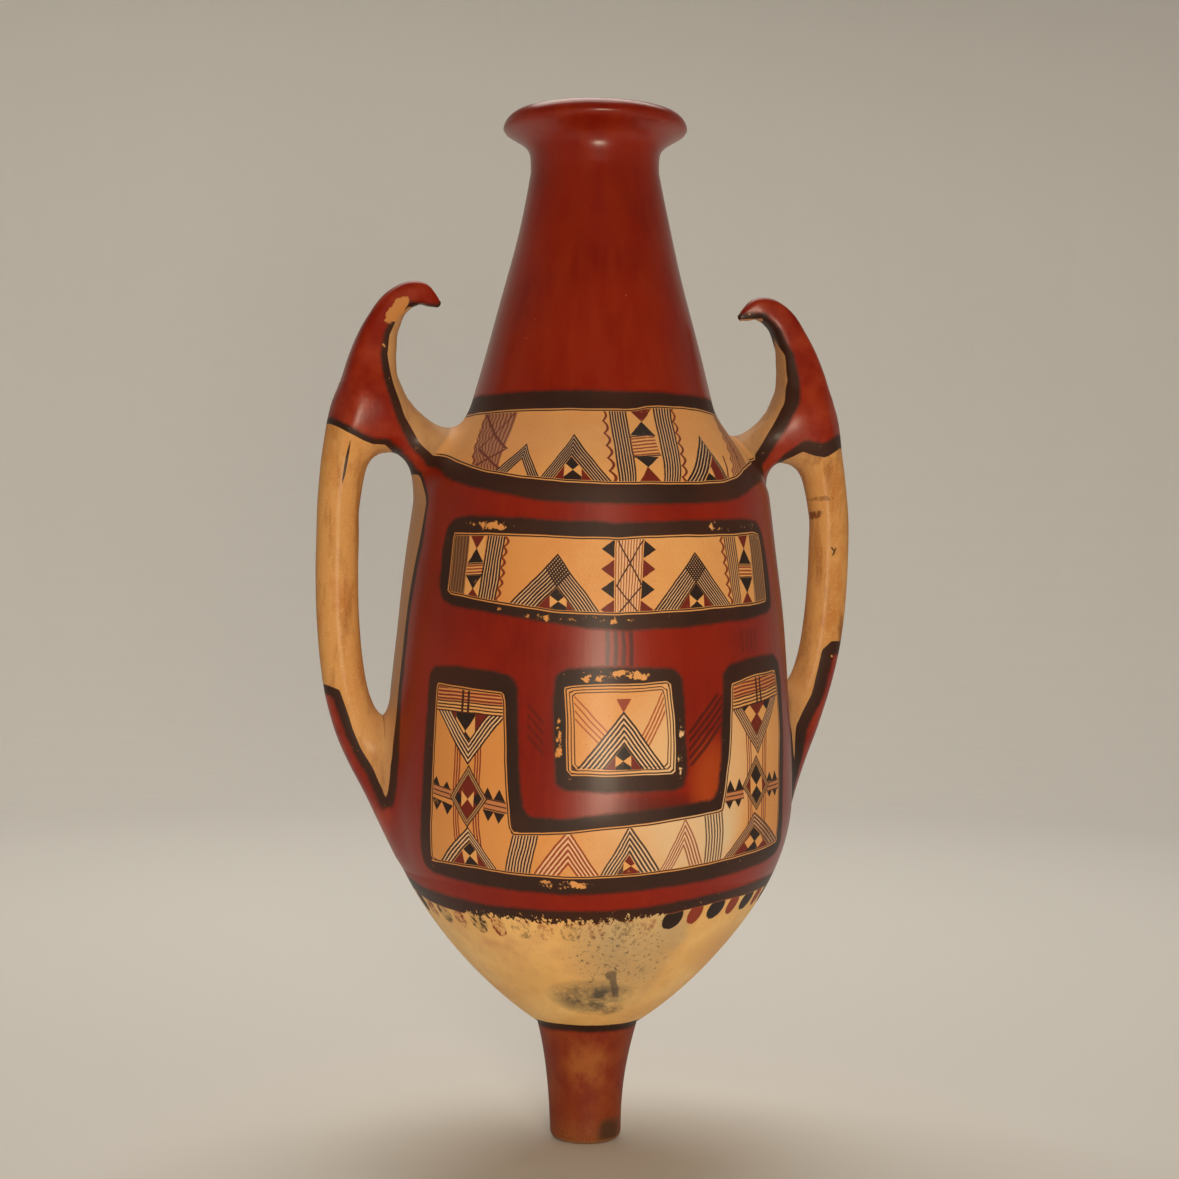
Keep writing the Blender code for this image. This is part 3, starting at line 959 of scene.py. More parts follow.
def frame_wear(coat, extra=0.0):
    """Where the dark paint has flaked: the peaks of a noise, more of them
    along the outer edge of the pale field, and more where extra is high."""
    rim = coat.sum("MULTIPLY_ADD", abs(coat.field + 4.0), -0.012, 0.05)
    worn = coat.flake + coat.most(rim, -0.06) + extra
    return coat.ramp(worn, 22.0, -22.0 * 0.715)


def lay_slips(coat, worn):
    """Red, then dark frames with their flakes, then the pale field with a
    thin dark line just inside its edge. Returns the colour."""
    dark = coat.over(DARK, DARK_WARM, coat.ramp(coat.cloud, 2.4, -0.8))
    colour = coat.over(coat.red_slip, dark, coat.in_frame)
    colour = coat.over(colour, coat.pale_slip, worn * coat.in_frame)
    colour = coat.over(colour, coat.pale_slip, coat.in_field)
    thin = coat.cover(0.48 - abs(coat.field - 1.3), 0.3) * coat.attribute("lined")
    return coat.over(colour, INK, thin)


def polish_coat(coat, colour, rough, polish):
    """Colour and roughness to the shader, and the thin gloss of the rubbing."""
    coat.feed(coat.shader.inputs["Base Color"], colour)
    coat.feed(coat.shader.inputs["Roughness"], rough)
    coat.shader.inputs["Specular IOR Level"].default_value = 0.28
    coat.shader.inputs["Coat Weight"].default_value = polish * 0.3
    coat.shader.inputs["Coat Roughness"].default_value = 0.22


def finish_coat(coat, colour, rough, worn, polish=0.35):
    """Polish, and a fine relief: pebble streaks, grain and edges of flakes."""
    polish_coat(coat, colour, rough, polish)
    relief = coat.streak * 0.35 + coat.grain * 0.18 + coat.cloud * 0.8 - worn * coat.in_frame * 0.5
    coat.dent(relief, 0.55, 0.0004)
    return coat.material


# %% [markdown]
# ## Plain zones
#
# The surface is given one material for each zone, so that every graph stays
# small: the faces of the shoulder band carry the brushwork of that band and
# nothing else. All zones share the slips above, so no border between two
# zones can be seen.

# %% Roughness, even lines and limits
def rough_of(coat, worn):
    """Red and pale are rubbed smooth, dark paint is duller, flakes are dry."""
    rough = 0.27 + coat.grain * 0.10 + coat.cloud * 0.08 + coat.in_frame * 0.20 * (1.0 - coat.in_field)
    return rough + coat.in_field * 0.22 + worn * 0.2


def stripes(coat, across, start, pitch, count, width, soft=0.3):
    """Even lines: the distance to the nearest line comes from a zigzag wave."""
    run = across - start
    near = coat.sum("PINGPONG", run, 0.5 * pitch)
    half = 0.5 * count * pitch
    middle = half - 0.5 * pitch
    window = coat.cover(half - abs(run - middle), soft)
    return coat.cover(0.5 * width - near, soft) * window


def between(coat, value, low, high, soft=0.4):
    """1 between two limits, 0 beyond them."""
    half = 0.5 * (high - low)
    return coat.cover(half - abs(value - 0.5 * (high + low)), soft)


def browner_and_shaded_beside(coat, colour):
    """Pale clay between body and handle, left rough and browner; part of the darkening is painted shade
    where the handle shades the body.
    """
    beside = coat.cover(48.0 - abs(abs(coat.u) - HANDLE_U), 6.0) * coat.in_field
    beside = beside * coat.cover(coat.v - 215.0, 1.0) * coat.cover(526.0 - coat.v, 8.0)
    return coat.over(colour, ROUGH_CLAY_AND_SHADE, beside * 0.65)


# %% Red body with the faint strokes between the panels
def red_body():
    """Plain red slip; four groups of brown strokes show through it in front."""
    coat = jar_coat("red_body")
    worn = frame_wear(coat)
    colour = lay_slips(coat, worn)
    bare = in_red(coat)
    u, v = coat.u, coat.v
    uprights = stripes(coat, u, -27.0, 5.6, 4, 3.0, 0.8) * between(coat, v, 368.0, 404.0, 2.0)
    lean = u - (v - 315.0) * 0.92
    slants = stripes(coat, lean, 22.0, 5.6, 5, 3.4, 1.0) * between(coat, u, 24.0, 66.0, 2.0)
    slants = slants * between(coat, v, 302.0, 353.0, 3.0)
    back_lean = u + (v - 315.0) * 0.92
    back = stripes(coat, back_lean, -74.0, 6.5, 4, 3.2, 1.0) * between(coat, u, -90.0, -60.0, 2.0)
    back = back * between(coat, v, 300.0, 350.0, 3.0)
    faint = stripes(coat, u, 86.0, 5.5, 4, 2.6, 1.2) * between(coat, v, 376.0, 408.0, 4.0)
    strokes = coat.most(coat.most(uprights * 0.85, slants * 0.8), coat.most(back * 0.45, faint * 0.4))
    # Beside the grips the clay is browner and darker: partly real rough clay, partly painted shade between
    # handle and body.
    colour = browner_and_shaded_beside(coat, colour)
    colour = coat.over(colour, (0.060, 0.008, 0.004), strokes * bare)
    return finish_coat(coat, colour, rough_of(coat, worn), worn)


# %% Red neck, streaked by the pebble
def red_neck():
    """Long upright streaks and a few pale specks in the red."""
    coat = jar_coat("red_neck")
    worn = frame_wear(coat, -0.2)
    colour = lay_slips(coat, worn)
    long_streak = coat.noise(coat.stretched(coat.place, (1.0, 1.0, 0.05)), 60.0, 3.0, 0.6)
    bare = in_red(coat)
    tone = coat.ramp(long_streak, 3.2, -1.25)
    colour = coat.over(colour, RED_THIN, tone * bare * 0.55)
    specks = coat.cover(coat.noise(coat.place, 230.0, 2.0, 0.5) - 0.775, 0.02) * bare
    colour = coat.over(colour, PALE_SPECK, specks)
    return finish_coat(coat, colour, rough_of(coat, specks) - 0.05, specks, 0.6)


ZONES = {}
ZONES["red_body"] = red_body()
ZONES["red_neck"] = red_neck()
print("zones", list(ZONES))

# %% [markdown]
# ## Brushwork
#
# The fields are filled with a small set of shapes, used again and again:
# runs of fine parallel lines, nested chevrons with a little black and red
# heart, ladders of lines with wedges between them, and saw-toothed arms. Each
# shape is one function of u and v. Depth below a chevron, for instance, is
# the height under its top less the slope times the distance to either side,
# and lines at even depths are the nested chevrons.

# %% Chevrons and what lies inside them
def peak(coat, top_u, top_v, left, right):
    """Depth below a chevron whose legs fall by left and right per millimetre."""
    side = coat.most((top_u - coat.u) * left, (coat.u - top_u) * right)
    return (top_v - coat.v) - side


def valley(coat, low_u, low_v, left, right):
    """Height above a chevron that stands on its point."""
    side = coat.most((low_u - coat.u) * left, (coat.u - low_u) * right)
    return (coat.v - low_v) - side


def leaning(coat, top_u, top_v, low_u, low_v):
    """Place u of a leaning line at each height."""
    slope = (top_u - low_u) / (top_v - low_v)
    return coat.sum("MULTIPLY_ADD", coat.v, slope, low_u - slope * low_v)


def nested(coat, depth, pitch, count, width, ink=INK, fresh=False):
    """Lines at even depths, on a paler ground that fills the gaps. A fresh
    one hides first what lies below it."""
    if fresh:
        coat.lay(PALE, coat.cover(depth, 0.4))
    reach = 0.5 * pitch * (count - 1.0)
    coat.lay(GAP, coat.cover(reach - abs(depth - reach), 0.6) * 0.6)
    weight = width * (0.85 + 0.5 * coat.pressure)
    coat.lay(ink, stripes(coat, depth, 0.0, pitch, count, weight, 0.5))


def heart(coat, depth, mid_u, mid_v, half, flank=RED_PAINT, glass_ink=BLACK_PAINT, flare=1.4):
    """Inside the last line: red flanks, and between them an hourglass that is
    wider the further it is from its waist, with pale cheeks."""
    inside = coat.cover(depth, 0.5)
    coat.lay(flank, inside)
    away = abs(coat.u - mid_u)
    strip = inside * coat.cover(half - away, 0.4)
    coat.lay(PALE, strip)
    waist = abs(coat.v - mid_v)
    glass = coat.cover(waist * flare - away, 0.4) * strip
    coat.lay(glass_ink, glass)


# %% Wedges, ladders, scallops, strokes and teeth
def wedge(coat, apex_u, apex_v, base_v, half, ink, shift=0.0):
    """Triangle from its apex to a level base; shift leans the base sideways."""
    run = 1.0 / (base_v - apex_v)
    share = coat.sum("MULTIPLY_ADD", coat.v, run, -apex_v * run)
    away = abs(coat.u - apex_u - share * shift)
    mask = coat.cover(share * half - away, 0.4) * coat.cover((1.0 - share) * abs(base_v - apex_v), 0.4)
    coat.lay(ink, mask)


def ladder(coat, left, right, count, weight, ink, ground=0.5):
    """Lines that share out the width between two leaning lines, on pale
    ground. Each leaning line is a tone or the two ends of one."""
    left, right = (leaning(coat, *edge) if isinstance(edge, tuple) else edge for edge in (left, right))
    share = (coat.u - left) / (right - left) * float(count)
    coat.lay(GAP, coat.cover(0.5 * count - 0.4 - abs(share - 0.5 * count), 0.3) * ground)
    coat.lay(ink, stripes(coat, share, 0.5, 1.0, count, weight, 0.22))


def scallop(coat, ends, reach, length, width, ink):
    """A line of half circles on a spine between two ends: the size of a sine."""
    spine = leaning(coat, *ends)
    wave = abs(coat.sum("SINE", coat.v * (math.pi / length))) * reach
    coat.lay(ink, coat.cover(0.5 * width - abs(coat.u - spine - wave), 0.4))


def stroke(coat, ends, width, ink):
    """Straight stroke between two ends, at least half upright."""
    from_u, from_v, to_u, to_v = ends
    line = leaning(coat, *ends)
    tilt = 1.0 / math.hypot(1.0, (from_u - to_u) / (from_v - to_v))
    mask = coat.cover(0.5 * width - abs(coat.u - line) * tilt, 0.4)
    mask = mask * between(coat, coat.v, min(from_v, to_v), max(from_v, to_v), 0.6)
    coat.lay(ink, mask)


def teeth(coat, first_u, pitch, base_v, tilt, height):
    """Two saw teeth on a base line; a negative height points them down."""
    run = coat.u - first_u
    near = coat.sum("PINGPONG", run, 0.5 * pitch)
    above = (coat.v - base_v - run * tilt) * (1.0 if height > 0 else -1.0)
    tooth = abs(height) * (1.0 - near * (2.0 / pitch))
    mask = coat.cover(tooth - above, 0.5) * coat.cover(above + 0.6, 0.4)
    coat.lay(BLACK_PAINT, mask * coat.cover(pitch - abs(run - 0.5 * pitch), 0.3))


# %% A coat with brushwork in its field
def painted_zone(name, brushwork, extra_wear=0.0, worn_ovals=(), milky=False):
    """A coat whose field is painted by a function that gets the coat.
    Each worn oval is a share, its middle and its half sizes."""
    coat = jar_coat(name)
    for share, *oval in worn_ovals:
        extra_wear = extra_wear + spot(coat, *oval) * share
    worn = frame_wear(coat, extra_wear)
    colour = lay_slips(coat, worn)
    coat.paint = coat.pale_slip
    if milky:
        bloom = coat.ramp(coat.u, 0.014, 0.75) * coat.cover(72.0 - coat.u, 16.0)
        bloom = bloom * coat.cover(276.0 - coat.v, 20.0)
        coat.lay(MILK, bloom * coat.ramp(coat.cloud, 1.5, -0.1))
    brushwork(coat)
    coat.lay(coat.pale_slip, coat.ramp(coat.flake, 9.0, -5.6) * 0.5)
    colour = coat.over(colour, coat.paint, coat.cover(coat.field - 2.1, 0.3))
    return finish_coat(coat, colour, rough_of(coat, worn), worn)


# %% Shoulder band
WASH = (0.33, 0.105, 0.045)


def shoulder_brushwork(coat):
    """Washed strips at both ends, chevrons, and the ladder in the middle. The
    back repeats the front, so u starts afresh after half a turn."""
    coat.u = coat.sum("WRAP", coat.u, 0.5 * HALF_TURN, -0.5 * HALF_TURN)
    for strength, left_edge, right_edge in (
        (0.85, (-183, 561, -148, 514), (-129, 561, -121, 514)),
        (0.5, (145, 562, 94, 512), (178, 562, 124, 512)),
    ):
        left = leaning(coat, *left_edge) + coat.sum("SINE", coat.v * 0.75) * 1.6
        right = leaning(coat, *right_edge)
        wash = coat.cover(coat.least(coat.u - left, right - coat.u), 0.8)
        coat.lay(WASH, wash * strength)
        ladder(coat, left, right, 9, 0.42, (0.20, 0.045, 0.018), 0.1)
    for ends in (
        (-181, 560, -121, 530), (-130, 561, -154, 531), (-154, 531, -120, 515),
        (-121, 530, -150, 516), (98, 528, 89, 511), (150, 560, 118, 520),
    ):
        stroke(coat, ends, 1.8, (0.16, 0.03, 0.015))
    scallop(coat, (-184, 561, -149, 514), 2.5, 7.0, 1.6, (0.20, 0.035, 0.016))
    depth = peak(coat, -101.5, 533.0, 0.97, 1.36)
    nested(coat, depth, 2.6, 5, 1.8)
    depth = peak(coat, -57.0, 539.5, 1.36, 1.03)
    nested(coat, depth, 2.75, 6, 1.85)
    heart(coat, depth - 15.6, -55.0, 513.5, 7.0)
    depth = peak(coat, 80.0, 542.0, 0.9, 4.2)
    nested(coat, depth, 3.3, 5, 2.2)
    heart(coat, depth - 15.5, 66.0, 514.5, 6.0)
    centre_ladder(coat)


def centre_ladder(coat):
    """Two runs of lines that close in downwards, with wedges between them."""
    left_in, right_in = leaning(coat, 0, 561, -3.5, 505), leaning(coat, 31.5, 563, 17, 500)
    coat.lay(PALE, coat.cover(coat.least(coat.u - left_in, right_in - coat.u), 0.4))
    ladder(coat, (-22.0, 561, -18.0, 504), (-0.5, 561, -3.5, 504), 7, 0.66, INK)
    ladder(coat, (31.5, 563, 18.5, 504), (57.0, 563, 33.0, 504), 7, 0.63, INK)
    scallop(coat, (-29.5, 561, -23.5, 504), 4.0, 9.5, 2.6, SCALLOP_RED)
    scallop(coat, (57.0, 563, 34.5, 504), 3.6, 8.5, 2.6, SCALLOP_RED)
    wedge(coat, 14.0, 551.0, 562.0, 15.0, RED_PAINT, 1.5)
    wedge(coat, 13.5, 551.5, 540.3, 13.2, BLACK_PAINT, -2.5)
    level = coat.v - (coat.u - 8.0) * 0.1
    lines = stripes(coat, level, 525.8, 2.5, 6, 1.1) * between(coat, coat.u, -3.5, 22.5)
    coat.lay(LINE_RED, lines)
    edge = stripes(coat, level, 524.4, 15.6, 2, 1.0) * between(coat, coat.u, -3.8, 23.0)
    coat.lay(DARK_WARM, edge)
    wedge(coat, 8.0, 516.0, 524.3, 11.5, BLACK_PAINT, 0.5)
    wedge(coat, 7.5, 516.5, 503.0, 11.5, RED_PAINT, 1.0)


ZONES["shoulder_band"] = painted_zone("shoulder_band", shoulder_brushwork, extra_wear=-0.03)

# %% Second band
def lattice(coat, top_u, top_v, left, right, pitch, count, width):
    """A chevron whose two runs of lines cross in a net under its top."""
    left_run = (top_v - coat.v) - (top_u - coat.u) * left
    right_run = (top_v - coat.v) - (coat.u - top_u) * right
    width = width * (0.85 + 0.4 * coat.pressure)
    one = stripes(coat, left_run, 0.0, pitch, count, width, 0.5) * coat.cover(right_run + 0.6, 0.5)
    two = stripes(coat, right_run, 0.0, pitch, count, width, 0.5) * coat.cover(left_run + 0.6, 0.5)
    reach = coat.least(left_run, right_run)
    ground = coat.cover(reach, 0.5) * coat.cover(pitch * (count - 1.0) - reach, 0.5)
    coat.lay(GAP, ground * 0.6)
    coat.lay(INK, coat.most(one, two))
    return reach - pitch * (count - 0.6)


def wedge_column(coat, centre, half, low, high):
    """Red wedge, black wedge, a few bars, black wedge, red wedge."""
    rise = high - low
    inside = coat.cover(half - abs(coat.u - centre), 0.4)
    coat.lay(PALE, inside)
    wedge(coat, centre, low + 0.77 * rise, high, half, RED_PAINT)
    wedge(coat, centre, low + 0.78 * rise, low + 0.57 * rise, half, BLACK_PAINT)
    bars = stripes(coat, coat.v, low + 0.43 * rise, 0.048 * rise, 3, 1.2) * inside
    coat.lay(LINE_RED, bars)
    rims = stripes(coat, coat.v, low + 0.39 * rise, 0.165 * rise, 2, 0.9) * inside
    coat.lay(DARK_WARM, rims)
    wedge(coat, centre, low + 0.17 * rise, low + 0.38 * rise, half, BLACK_PAINT)
    wedge(coat, centre, low + 0.19 * rise, low, half, RED_PAINT)


def second_brushwork(coat):
    """From left to right: brown bar, wedges, ladder, two netted chevrons with
    the crossed ladder between them, ladder, wedges, brown bar."""
    brown = (0.11, 0.045, 0.02)
    coat.lay((0.20, 0.085, 0.04), between(coat, coat.u, -162.0, -139.5) * 0.9)
    ladder(coat, (-158, 470, -158, 420), (-139, 470, -140, 420), 6, 0.55, brown, 0.0)
    wedge_column(coat, -131.5, 7.5, 418.5, 467.0)
    ladder(coat, (-122.0, 467, -127.0, 417), (-105.0, 467, -111.0, 417), 7, 0.66, INK)
    scallop(coat, (-105.5, 467, -111.5, 417), 3.0, 7.5, 2.3, (0.22, 0.035, 0.013))
    depth = lattice(coat, -63.5, 452.0, 1.0, 1.36, 3.1, 8, 1.95)
    heart(coat, depth, -62.5, 419.0, 6.0)
    depth = lattice(coat, 43.0, 454.5, 1.18, 1.17, 2.9, 8, 1.85)
    heart(coat, depth, 43.0, 420.0, 6.5)
    grey = (0.10, 0.05, 0.028)
    ladder(coat, (72.0, 469, 79.0, 416), (86.5, 469, 91.0, 416), 6, 0.62, grey, 0.2)
    scallop(coat, (68.0, 469, 75.0, 416), 3.0, 8.0, 2.3, (0.22, 0.035, 0.013))
    wedge_column(coat, 96.5, 8.5, 416.5, 471.0)
    coat.lay((0.26, 0.14, 0.07), between(coat, coat.u, 106.0, 130.0) * 0.85)
    ladder(coat, (106, 470, 108, 420), (126, 470, 126, 420), 7, 0.5, brown, 0.0)
    crossed_ladder(coat)


def crossed_ladder(coat):
    """Thin upright lines under black crosses, with wedges along both sides."""
    left, right = leaning(coat, -21.5, 466, -22.5, 410), leaning(coat, 1.5, 466, -3.5, 410)
    beside = coat.most(left - coat.u, coat.u - right)
    step = coat.v - 413.5
    near = coat.sum("PINGPONG", step, 7.2)
    tooth = 10.0 - near * 1.45
    wedges = coat.cover(tooth - beside, 0.5) * coat.cover(beside, 0.4)
    coat.lay(RED_PAINT, wedges)
    black = coat.sum("COMPARE", coat.sum("PINGPONG", step - 14.4, 14.4), 0.0, 7.2)
    coat.lay(BLACK_PAINT, wedges * black)
    coat.lay(PALE, coat.cover(0.0 - beside, 0.4))
    ladder(coat, left, right, 10, 0.36, LINE_RED)
    for ends in (
        (-20.5, 465, -1.5, 431), (0.5, 464, -20.5, 430), (-20.5, 431, -4, 411), (-2, 430, -19, 411),
    ):
        stroke(coat, ends, 1.1, DARK_WARM)


SECOND_WORN = (
    (0.2, -118.0, 474.0, 24.0, 4.0), (0.13, -42.0, 408.0, 44.0, 5.0),
    (0.17, 66.0, 475.0, 9.0, 4.0), (0.12, 104.0, 476.0, 14.0, 3.0),
)
ZONES["second_band"] = painted_zone("second_band", second_brushwork, worn_ovals=SECOND_WORN)

# %% Centre square
def square_brushwork(coat):
    """Two thin borders, two leaning runs of red lines and one tall chevron."""
    field = coat.field
    coat.lay(DARK_WARM, stripes(coat, field, 3.6, 2.1, 2, 0.75))
    depth = peak(coat, -15.5, 340.5, 1.29, 1.40)
    lean = (coat.v - 350.0) + (coat.u + 50.0) * 1.09
    left = stripes(coat, lean, -12.5, 5.0, 4, 1.7, 0.4) * coat.cover(-16.0 - coat.u, 1.0)
    lean = (coat.v - 356.0) - (coat.u - 13.0) * 2.0
    right = stripes(coat, lean, -16.0, 5.4, 4, 2.6, 0.6) * coat.cover(coat.u + 15.0, 1.0)
    inside = coat.cover(field - 6.6, 0.3) * coat.cover(0.0 - depth, 0.5)
    coat.lay((0.42, 0.10, 0.03), coat.most(left, right) * inside)
    wedge(coat, -15.5, 340.5, 350.0, 5.0, (0.32, 0.05, 0.02))
    in_lines = coat.cover(coat.v - 300.6, 0.4)
    coat.lay(GAP, coat.cover(10.6 - abs(depth - 10.6), 0.5) * in_lines * 0.6)
    lines = stripes(coat, depth, 0.0, 4.25, 6, 1.7 + 1.1 * coat.pressure, 0.5)
    coat.lay(INK, lines * in_lines)
    heart(coat, coat.least(depth - 22.6, coat.v - 300.4), -16.0, 306.5, 5.5)


SQUARE_WORN = (
    (0.13, -27.0, 366.5, 34.0, 5.0), (0.15, -60.0, 316.0, 3.0, 24.0),
    (0.17, 25.5, 312.0, 3.0, 22.0), (0.09, -8.0, 367.5, 14.0, 4.0),
)
ZONES["square_panel"] = painted_zone("square_panel", square_brushwork, worn_ovals=SQUARE_WORN)

# %% Left column
def header(coat, low, slope, high, bar_one, bar_two):
    """Reddish bars and dark lines across the top, crossed by two dark bars."""
    level = coat.v - (coat.u + 130.0) * slope
    wash = between(coat, level, low, high + 2.0)
    coat.lay(PALE, wash)
    coat.lay((0.66, 0.235, 0.07), between(coat, level, low + 7.6, high + 2.0) * 0.85)
    coat.lay((0.20, 0.030, 0.014), stripes(coat, level, low + 9.3, 2.6, 4, 1.35))
    coat.lay(DARK_WARM, stripes(coat, level, low + 0.2, 2.4, 4, 1.1))
    bars = coat.most(*(coat.cover(1.0 - abs(coat.u - bar), 0.3) for bar in (bar_one, bar_two)))
    coat.lay(DARK_WARM, bars * wash)


def diamond_frame(coat, mid_u, mid_v, left, right, up, down):
    """Measure of a leaning diamond, painted as three lines round a core."""
    across = coat.most((mid_u - coat.u) * (1.0 / left), (coat.u - mid_u) * (1.0 / right))
    rise = coat.most((coat.v - mid_v) * (1.0 / up), (mid_v - coat.v) * (1.0 / down))
    size = (1.0 - across - rise) * 13.0
    coat.lay(DARK_WARM, coat.cover(size, 0.4))
    gaps = coat.most(coat.cover(0.45 - abs(size - 1.45), 0.35), coat.cover(0.45 - abs(size - 3.0), 0.35))
    coat.lay((0.46, 0.24, 0.10), gaps)
    return size - 4.0


def toothed_arm(coat, arm, side, half, ink, step, tooth_rows):
    """The brown arm on both sides of a diamond, with three lines and saw teeth."""
    for row in tooth_rows:
        teeth(coat, *row)
    coat.lay(ink, coat.cover(half - abs(arm), 0.4) * side)
    coat.lay(DARK_WARM, stripes(coat, arm, -step, step, 3, 0.9) * side)


def left_brushwork(coat):
    """From the top: header, hanging chevron, diamond with arms, chevron."""
    u, v = coat.u, coat.v
    rails = coat.most(stripes(coat, u, -138.5, 2.1, 3, 1.15), stripes(coat, u, -121.3, 2.1, 3, 1.15))
    coat.lay((0.24, 0.036, 0.016), rails * between(coat, v, 240.0, 322.0, 2.0))
    above = valley(coat, -127.5, 301.5, 1.29, 1.24)
    nested(coat, above, 3.9, 5, 1.9, fresh=True)
    heart(coat, above - 16.4, -130.5, 325.0, 8.5, flare=0.85)
    header(coat, 337.6, -0.045, 356.0, -133.5, -128.5)
    arm = v - 276.5 + (u + 127.0) * 0.16
    side = coat.cover(abs(u + 126.5) - 13.0, 0.4)
    tooth_rows = (
        (-155.0, 10.5, 283.2, -0.30, 8.0), (-154.5, 10.0, 274.0, -0.25, -8.0),
        (-110.0, 8.7, 277.2, -0.12, 8.5), (-109.5, 8.4, 268.8, -0.16, -7.5),
    )
    toothed_arm(coat, arm, side, 3.9, (0.55, 0.20, 0.075), 3.4, tooth_rows)
    below = peak(coat, -126.0, 255.5, 0.88, 1.5)
    nested(coat, below, 3.1, 4, 1.6, fresh=True)
    heart(coat, below - 10.6, -127.5, 234.5, 6.0, flare=1.0)
    core = diamond_frame(coat, -126.5, 277.0, 15.0, 16.5, 24.0, 21.5)
    inside = coat.cover(core, 0.4)
    coat.lay(BLACK_PAINT, inside)
    waist = abs(v - 276.5)
    coat.lay(RED_PAINT, inside * coat.cover(waist * 1.6 - abs(u + 126.5) + 1.0, 0.5))
    cheeks = coat.cover(5.0 - abs(u + 126.5), 0.3) * coat.cover(abs(u + 126.5) - waist * 0.85, 0.4)
    coat.lay(PALE, inside * cheeks)


ZONES["left_column"] = painted_zone("left_column", left_brushwork, extra_wear=-0.01)

# %% Right column
def right_brushwork(coat):
    """The left column's shapes again, narrower, with diamonds for hearts."""
    u, v = coat.u, coat.v
    brown = (0.15, 0.06, 0.03)
    leant = u - (v - 280.0) * 0.06
    rails = coat.most(stripes(coat, u, 84.5, 2.1, 3, 1.0), stripes(coat, leant, 102.0, 2.3, 3, 1.1))
    coat.lay((0.26, 0.05, 0.022), rails * between(coat, v, 248.0, 326.0, 2.0))
    above = valley(coat, 97.0, 309.0, 1.26, 1.32)
    nested(coat, above, 3.1, 5, 2.0, brown, fresh=True)
    inside = coat.cover(above - 13.4, 0.4)
    coat.lay(BLACK_PAINT, inside)
    away, waist = abs(u - 97.5), abs(v - 337.0)
    coat.lay(PALE, inside * coat.cover(17.5 - away - waist * 1.3, 0.5))
    coat.lay(RED_PAINT, inside * coat.cover(waist * 1.05 - away + 1.2, 0.5))
    header(coat, 311.0, 0.15, 331.0, 98.5, 103.5)
    arm = v - 281.5 - (u - 95.0) * 0.09
    side = coat.cover(abs(u - 94.5) - 14.5, 0.4)
    tooth_rows = (
        (66.0, 9.3, 282.4, 0.08, 8.5), (65.0, 9.0, 276.6, 0.10, -7.0),
        (112.5, 8.8, 287.6, 0.02, 6.5), (112.0, 8.8, 280.6, 0.02, -5.5),
    )
    toothed_arm(coat, arm, side, 3.6, (0.55, 0.21, 0.08), 3.2, tooth_rows)
    below = peak(coat, 91.5, 265.0, 1.2, 0.61)
    nested(coat, below, 3.0, 4, 2.2, brown, fresh=True)
    inside = coat.cover(below - 10.5, 0.4)
    coat.lay(RED_PAINT, inside)
    away, waist = abs(u - 95.5), abs(v - 243.5)
    coat.lay(PALE, inside * coat.cover(11.5 - away - waist * 1.1, 0.5))
    glass = coat.cover(waist * 1.1 - away + 0.6, 0.5) * coat.cover(11.0 - away, 0.5)
    coat.lay(BLACK_PAINT, inside * glass)
    core = diamond_frame(coat, 94.5, 285.0, 16.0, 17.0, 22.5, 18.5)
    inside = coat.cover(core, 0.4)
    coat.lay(RED_PAINT, inside)
    waist, away = abs(v - 285.5), abs(u - 94.8)
    coat.lay(PALE, inside * coat.cover(7.0 - away, 0.4))
    glass = coat.cover(waist * 0.9 - away, 0.5) * coat.cover(7.0 - away, 0.4)
    coat.lay(BLACK_PAINT, inside * glass)


ZONES["right_column"] = painted_zone("right_column", right_brushwork, extra_wear=-0.01, milky=True)

# %% Strip along the foot of the U
def strip_brushwork(coat):
    """Three nested chevrons between two ladders."""
    ladder(coat, (-91.5, 254, -101.0, 223), (-72.5, 254, -81.0, 223), 9, 0.56, INK)
    depth = peak(coat, -53.0, 256.5, 1.29, 1.50)
    nested(coat, depth, 4.5, 6, 2.1, LINE_RED)
    depth = peak(coat, -11.3, 260.5, 1.90, 1.45)
    nested(coat, depth, 4.4, 5, 2.3, (0.07, 0.04, 0.025))
    heart(coat, depth - 20.0, -9.0, 232.0, 5.5, (0.10, 0.05, 0.03), RED_PAINT)
    depth = peak(coat, 28.0, 265.0, 2.4, 1.94)
    nested(coat, depth, 4.8, 5, 2.4, (0.33, 0.11, 0.055))
    ladder(coat, (42.0, 268, 47.0, 229), (59.0, 268, 63.0, 229), 7, 0.5, (0.09, 0.05, 0.03))


STRIP_WORN = ((0.17, -56.0, 217.0, 26.0, 4.0),)
ZONES["low_strip"] = painted_zone("low_strip", strip_brushwork, worn_ovals=STRIP_WORN, milky=True)
print("zones", list(ZONES))

# %% [markdown]
# ## Belly, foot, handles and inside
#
# Below the belt the slip is thin and has had the hardest life: the belt's
# lower edge has flaked into tatters, drops of paint hang from it, and smoke
# has left a grey veil and dark specks. The grips were rubbed with pale slip
# only, so the warm clay shows through in long stains, with a crack and a
# chip. The inside is bare clay.

# %% Drops, clay and smoke of the belly
BUFF_DEEP, BUFF_LIGHT, BUFF_GRAIN = (0.78, 0.43, 0.14), (0.94, 0.61, 0.235), (0.46, 0.24, 0.10)
PINK_CLOUD, ORANGE_CLOUD, DROP_RED = (0.60, 0.25, 0.105), (0.66, 0.30, 0.09), (0.27, 0.035, 0.012)
VEIL_GREY, SPECK_BROWN, BLOT_GREY = (0.34, 0.29, 0.20), (0.10, 0.075, 0.05), (0.075, 0.062, 0.055)


